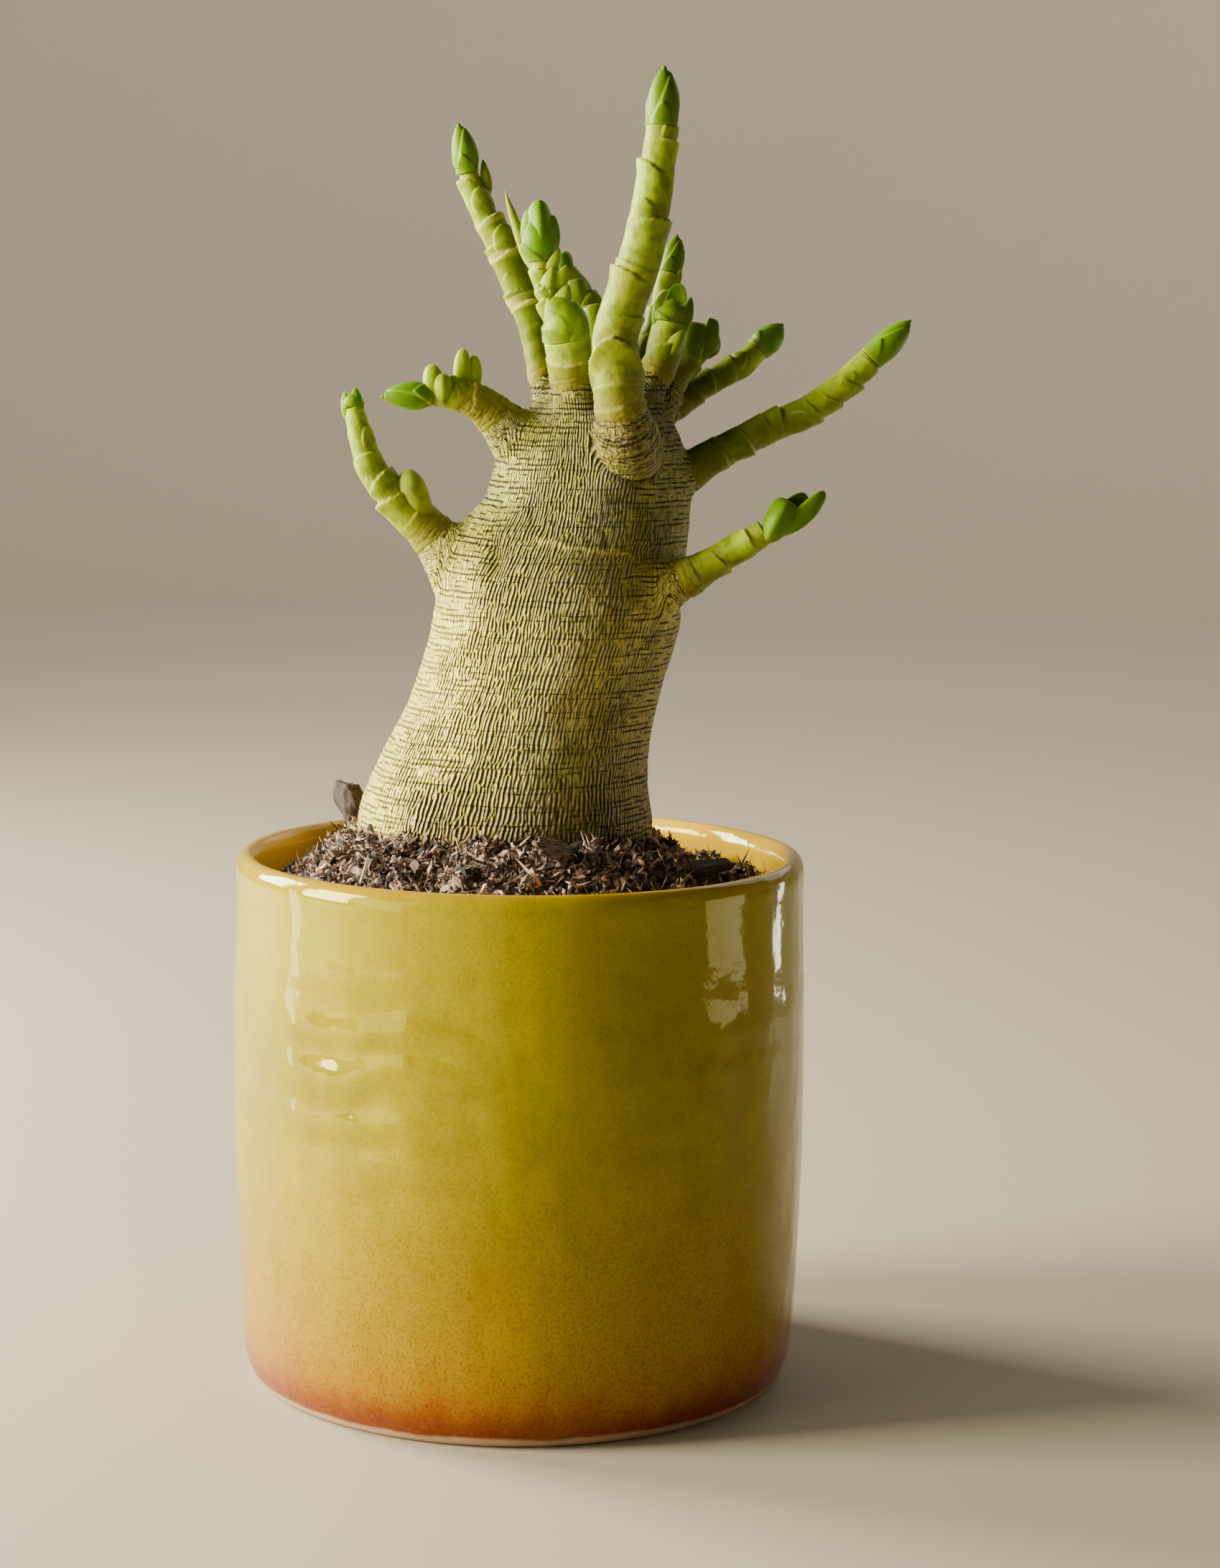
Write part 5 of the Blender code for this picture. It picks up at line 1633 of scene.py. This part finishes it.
def shoot_form(shoot, stalk):
    """The radius and the marks of a shoot's skin."""

    def form(where, turn, radius):
        place = on_round(radius, turn, where)
        out = 0.08 * noise_at(place, 2.2) + 0.04 * noise_at(place, 0.9, 4.0)
        pale, dark = np.zeros(len(where)), np.zeros(len(where))
        add_nodes(shoot["nodes"], where, turn, radius, out, pale, dark)
        add_scales(shoot["scales"], where, turn, radius, out, pale)
        for start, length in shoot.get("sleeves", []):
            end = start + length
            worn = step_between(where, start - SLEEVE_EDGE, start)
            worn *= step_between(-where, -end, -end + SLEEVE_EDGE)
            papery = np.clip(0.55 + 0.5 * noise_at(place, (2.0, 2.0, 0.5), 5.0), 0.0, 1.0)
            pale = np.maximum(pale, worn * papery)
            out += SLEEVE_PROUD * worn
        bare = where - shoot.get("woody", 0.0)
        aged = 1.0 - step_between(bare + 1.2 * noise_at(place, 1.6, 6.0), -1.6, 2.4)
        rings = np.abs(noise_at(place, (4.0, 4.0, 0.8), 8.0))
        out -= STEM_RING_DEPTH * aged * step_between(-rings, -0.15, -0.01)
        sunk = STEM_SUNK * (1.0 - step_between(where, -3.2, -0.6))
        share = where / stalk.end
        # Painted shade, with the stem's own darker green, on the lower stem.
        dark = np.maximum(dark, dark_and_shade_of(shoot)[0] * (1.0 - step_between(share, 0.45, 1.0)))
        marks = {
            "fresh": np.clip(0.10 + 0.75 * share + 0.35 * noise_at(place, (3.0, 3.0, 5.0), 9.0), 0.0, 1.0),
            "pale": np.clip(pale, 0.0, 1.0),
            "bark": np.clip(aged, 0.0, 1.0),
            "brown": np.zeros(len(where)),
            "shade": dark,
        }
        return radius + out - sunk, marks

    return form


def stub_form(stalk, tip_share):
    """A side growth that rounds off at its end."""

    def form(where, turn, radius):
        share = (where - stalk.start) / (stalk.end - stalk.start)
        end = np.clip((share - tip_share) / (1.0 - tip_share), 0.0, 1.0)
        close = np.sqrt(np.clip(1.0 - end**2, 0.0, 1.0))
        place = on_round(radius, turn, where)
        out = 0.05 * noise_at(place, 1.2)
        zero = np.zeros(len(where))
        marks = {
            "fresh": 0.2 + 0.4 * share,
            "pale": 0.25 * share,
            "bark": zero,
            "brown": zero,
            "shade": 0.6 * step_between(share, 0.5, 0.9),
        }
        return (radius + out) * close, marks

    return form


# How far a stem goes into its collar and into its bud, in millimetres.
STEM_ROOT = 3.4
STEM_TOP = 0.2
# The height of one ring of faces in millimetres, and how many faces go round.
STEM_MESH = (0.2, 72)
STUB_MESH = (0.15, 40)
BUD_MESH = (0.12, 72)
# How far up a side growth starts to round off, as a share of its length.
STUB_ROUND = 0.66
# Roughness of the green skin of the stems and of the buds.
STEM_ROUGH = 0.40
BUD_ROUGH = 0.38


def make_shoots(shoots):
    """Every green shoot, with its scars and side leaves, rooted in its collar."""
    colours = tuple(shoots.old), tuple(shoots.young), tuple(shoots.scar)
    material = green_material("green_stem", *colours, STEM_ROUGH)
    for name, shoot in SHOOTS.items():
        stalk = Stalk(shoot["path"], shoot["joint"])
        form = shoot_form(shoot, stalk)
        pieces = [tube("stem_" + name, stalk, -STEM_ROOT, stalk.end + STEM_TOP, *STEM_MESH, form)]
        if "stub" in shoot:
            side = Stalk(shoot["stub"])
            pieces.append(tube("side", side, side.start, side.end, *STUB_MESH, stub_form(side, STUB_ROUND)))
        for values in shoot.get("leaves", []):
            side = leaf(*values)
            # The leaves' own darker green, with painted shade where the shoot is darkened.
            mark(side, shade=np.full(len(side.data.vertices), max(0.3, dark_and_shade_of(shoot)[0])))
            pieces.append(side)
        obj = join(pieces, "stem_" + name)
        finish_piece(obj, material, ["shoot_" + name])


# The outline of a shut bud: (share of its length, share of its width).
OGIVE = [
    (0.0, 0.70),
    (0.10, 0.78),
    (0.22, 0.94),
    (0.38, 1.0),
    (0.58, 0.90),
    (0.75, 0.68),
    (0.88, 0.42),
    (1.0, 0.12),
]
# Its leaves: (start, turn, length, width, lift), as shares of the bud's length and width, degrees and mm.
BUD_SCALES = [
    (-0.30, 0, 1.18, 2.1, 0.24),
    (-0.45, 150, 1.06, 1.7, 0.26),
    (-0.60, -70, 0.98, 1.4, 0.28),
]
BUD_ROUNDNESS = 1.8
# How far in its surface lies where no leaf covers it, in millimetres.
BUD_SUNK = 0.12


def closed_bud(name, foot, way, neck, bud, lean):
    """A shut bud: an ogive whose leaves overlap, each with a pale margin. Lean moves its tip, in mm."""
    length, width, first, green = bud
    foot, way = Vector(foot), Vector(way)
    ends = [foot, foot + way * length * 0.5, foot + way * length + Vector(lean)]
    stalk = Stalk([(*point, width / 2) for point in ends])
    shares, widths = zip(*OGIVE)
    widths = np.array(widths)
    widths[0] = 2.0 * neck / width
    widths[1:4] = np.maximum(widths[1:4], min(1.08, 2.0 * neck / width))
    scales = [
        (start * length, first + turn, long * length, wide * width, lift, BUD_ROUNDNESS)
        for start, turn, long, wide, lift in BUD_SCALES
    ]

    def form(where, turn, radius):
        share = np.clip(where / length, 0.0, 1.0)
        base = sum(np.interp(share + shift, shares, widths) for shift in (-0.05, 0.0, 0.05)) / 3.0
        base = np.where(share < 0.92, base, np.minimum(base, np.sqrt(1.0 - share) * 0.75)) * width / 2
        out, pale = np.zeros(len(where)), np.zeros(len(where))
        add_scales(scales, where, turn, base, out, pale)
        fade = step_between(-share, -1.0, -0.85)
        marks = {
            "fresh": green * step_between(share, -0.15, 0.25),
            "pale": np.clip(pale * 0.45 + 0.2 * step_between(-share, -0.12, 0.0), 0.0, 1.0),
            "bark": np.zeros(len(where)),
            "brown": 0.6 * step_between(share, 0.96, 1.0),
        }
        return np.maximum(base + (out - BUD_SUNK) * fade, 0.0), marks

    return tube(name, stalk, 0.0, length, *BUD_MESH, form)


def make_buds(buds):
    """The buds at the ends of the shoots: shut ones, and cups of thick young leaves."""
    material = green_material("bud_leaf", tuple(buds.light), tuple(buds.leaf), tuple(buds.rim), BUD_ROUGH)
    for name, shoot in SHOOTS.items():
        stalk = Stalk(shoot["path"], shoot["joint"])
        centre, radius, _, _, along = (row[0] for row in stalk.at(np.array([stalk.end])))
        pieces = []
        for values in shoot["bud"] if isinstance(shoot["bud"], list) else [shoot["bud"]]:
            if len(values) == 4:
                lean = shoot.get("lean", (0.0, 0.0, 0.0))
                pieces.append(closed_bud("bud", centre, along, radius, values, lean))
            else:
                pieces.append(leaf(*values, bow=BUD_LEAF_BOW, faces=BUD_LEAF_FACES))
        obj = join(pieces, "buds_" + name)
        # Painted shade, with their own darker green, on the buds.
        mark(obj, shade=np.full(len(obj.data.vertices), dark_and_shade_of(shoot)[1]))
        finish_piece(obj, material, ["bud_" + name])


# Stage

# The camera's place in metres, its turns in degrees, and its lens and sensor in millimetres.
CAMERA_PLACE = (0.0, -0.5158, 0.1640)
CAMERA_TURNS = (7.71, 1.54, 0.66)
CAMERA_LENS = 76.0
CAMERA_SENSOR = 36.0
# What the lights face, unless they have a target of their own.
PLANT_MIDDLE = (0.0, 0.0, 0.11)
# The floor's radius, the radius of the curve up into the backdrop and the backdrop's height, in metres.
FLOOR_RADIUS = 1.5
CURVE_RADIUS = 0.6
BACKDROP_HEIGHT = 1.4
SOFT_WHITE = (1.0, 0.97, 0.92)


def add_camera():
    """The camera of the photo, from its place and its turns down, to the right and about its own axis."""
    pitch, yaw, roll = (math.radians(angle) for angle in CAMERA_TURNS)
    ahead = Vector((math.sin(yaw) * math.cos(pitch), math.cos(yaw) * math.cos(pitch), -math.sin(pitch)))
    right = Vector((math.cos(yaw), -math.sin(yaw), 0.0))
    above = right.cross(ahead)
    right = right * math.cos(roll) + above * math.sin(roll)
    above = right.cross(ahead)
    basis = Matrix((right, above, -ahead)).transposed()
    bpy.ops.object.camera_add(location=CAMERA_PLACE, rotation=basis.to_euler())
    camera = bpy.context.object
    camera.data.lens = CAMERA_LENS
    camera.data.sensor_width = CAMERA_SENSOR
    camera.data.clip_start = 0.01
    bpy.context.scene.camera = camera


def add_light(name, place, size, power, colour, target=PLANT_MIDDLE):
    """A soft rectangular light that faces the plant, or another target."""
    aim = (Vector(target) - Vector(place)).to_track_quat("-Z", "Y").to_euler()
    bpy.ops.object.light_add(type="AREA", location=place, rotation=aim)
    light = bpy.context.object
    light.name = name
    light.data.shape = "RECTANGLE"
    light.data.size, light.data.size_y = size
    light.data.energy = power
    light.data.color = colour
    light.visible_camera = False


def make_stage(stage):
    """A plain pale floor that curves up into a backdrop, soft light and the camera."""
    deselect_all()
    bpy.ops.mesh.primitive_circle_add(vertices=96, radius=FLOOR_RADIUS, fill_type="NGON")
    floor = bpy.context.object
    floor.name = floor.data.name = "floor"
    edit_all()
    bpy.ops.mesh.inset(thickness=0.4)
    select_border()
    ring = (FLOOR_RADIUS, 0.0)
    for degrees in range(10, 91, 10):
        around = math.radians(degrees)
        rise = CURVE_RADIUS * (1.0 - math.cos(around))
        ring = extrude_ring(ring, (FLOOR_RADIUS + CURVE_RADIUS * math.sin(around), rise))
    bpy.ops.mesh.extrude_edges_move(TRANSFORM_OT_translate={"value": (0.0, 0.0, BACKDROP_HEIGHT)})
    bpy.ops.object.mode_set(mode="OBJECT")
    bpy.ops.object.shade_smooth()
    floor.data.materials.append(floor_material(stage))

    world = bpy.data.worlds.new("studio")
    world.use_nodes = True
    background = world.node_tree.nodes["Background"]
    background.inputs["Color"].default_value = (*SOFT_WHITE, 1.0)
    background.inputs["Strength"].default_value = stage.sky
    bpy.context.scene.world = world
    add_light("key", (-0.71, -0.125, 0.28), (0.28, 0.42), stage.key, (1.0, 0.94, 0.74))
    add_light("window", (-0.55, -0.38, 0.18), (0.26, 0.36), stage.key * 0.07, (1.0, 0.95, 0.72))
    add_light("side", (-0.62, 0.32, 0.34), (0.30, 0.40), stage.side, (1.0, 0.95, 0.78))
    add_light("wall", (0.0, 0.9, 1.2), (1.6, 0.5), stage.wall, (1.0, 0.97, 0.94), (0.0, 2.05, 0.15))
    add_light("fill", (0.62, -0.30, 0.26), (0.14, 0.46), stage.fill, (1.0, 0.78, 0.55))
    add_light("rim", (0.40, 0.55, 0.50), (0.50, 0.40), stage.rim, (1.0, 0.95, 0.88))
    add_light("strip_left", (-0.328, 0.030, 0.050), (0.026, 0.120), stage.strip * 1.2, SOFT_WHITE)
    add_light("strip_right", (0.292, 0.168, 0.060), (0.030, 0.090), stage.strip, SOFT_WHITE)
    add_light("pane_right", (0.335, -0.034, 0.062), (0.120, 0.090), stage.strip * 0.9, (1.0, 0.97, 0.86))
    add_camera()


# Operators and panel


class DESERTROSE_OT_stage(bpy.types.Operator):
    """Sets up the floor, the soft light and the camera"""

    bl_idname = "desertrose.stage"
    bl_label = "Set the Stage"

    def execute(self, context):
        make_stage(context.scene.desert_rose_stage)
        return {"FINISHED"}


class DESERTROSE_OT_pot(bpy.types.Operator):
    """Turns the pot and glazes it"""

    bl_idname = "desertrose.pot"
    bl_label = "Make the Pot"

    def execute(self, context):
        make_pot(context.scene.desert_rose_pot)
        return {"FINISHED"}


class DESERTROSE_OT_soil(bpy.types.Operator):
    """Fills the pot with crumbly mix and lays bark chips on it"""

    bl_idname = "desertrose.soil"
    bl_label = "Fill with Mix"

    def execute(self, context):
        make_soil(context.scene.desert_rose_soil)
        make_crumbs(context.scene.desert_rose_soil)
        make_bark_chips()
        return {"FINISHED"}


class DESERTROSE_OT_caudex(bpy.types.Operator):
    """Grows the swollen trunk and wrinkles its bark"""

    bl_idname = "desertrose.caudex"
    bl_label = "Grow the Caudex"

    def execute(self, context):
        make_caudex(context.scene.desert_rose_caudex)
        return {"FINISHED"}


class DESERTROSE_OT_shoots(bpy.types.Operator):
    """Grows the green shoots with their leaf scars"""

    bl_idname = "desertrose.shoots"
    bl_label = "Grow the Shoots"

    def execute(self, context):
        make_shoots(context.scene.desert_rose_shoots)
        return {"FINISHED"}


class DESERTROSE_OT_buds(bpy.types.Operator):
    """Closes each shoot with its bud of young leaves"""

    bl_idname = "desertrose.buds"
    bl_label = "Grow the Buds"

    def execute(self, context):
        make_buds(context.scene.desert_rose_buds)
        return {"FINISHED"}


GROUPS = {
    "desert_rose_stage": (StageSettings, "desertrose.stage"),
    "desert_rose_pot": (PotSettings, "desertrose.pot"),
    "desert_rose_soil": (SoilSettings, "desertrose.soil"),
    "desert_rose_caudex": (CaudexSettings, "desertrose.caudex"),
    "desert_rose_shoots": (ShootSettings, "desertrose.shoots"),
    "desert_rose_buds": (BudSettings, "desertrose.buds"),
}
OPERATORS = (
    DESERTROSE_OT_stage,
    DESERTROSE_OT_pot,
    DESERTROSE_OT_soil,
    DESERTROSE_OT_caudex,
    DESERTROSE_OT_shoots,
    DESERTROSE_OT_buds,
)


class DESERTROSE_PT_panel(bpy.types.Panel):
    """Sizes, colours and the steps that make the plant"""

    bl_label = "Desert Rose"
    bl_idname = "DESERTROSE_PT_panel"
    bl_space_type = "VIEW_3D"
    bl_region_type = "UI"
    bl_category = "Desert Rose"

    def draw(self, context):
        for group, (settings, operator) in GROUPS.items():
            box = self.layout.box()
            for name in settings.__annotations__:
                box.prop(getattr(context.scene, group), name)
            box.operator(operator)


def register():
    for group, (settings, _) in GROUPS.items():
        bpy.utils.register_class(settings)
        setattr(bpy.types.Scene, group, PointerProperty(type=settings))
    for operator in OPERATORS:
        bpy.utils.register_class(operator)
    bpy.utils.register_class(DESERTROSE_PT_panel)


def unregister():
    bpy.utils.unregister_class(DESERTROSE_PT_panel)
    for operator in reversed(OPERATORS):
        bpy.utils.unregister_class(operator)
    for group, (settings, _) in GROUPS.items():
        delattr(bpy.types.Scene, group)
        bpy.utils.unregister_class(settings)


def main():
    """Makes the whole plant with the operators."""
    register()
    bpy.ops.desertrose.stage()
    bpy.ops.desertrose.pot()
    bpy.ops.desertrose.soil()
    bpy.ops.desertrose.caudex()
    bpy.ops.desertrose.shoots()
    bpy.ops.desertrose.buds()


if __name__ == "__main__":
    main()
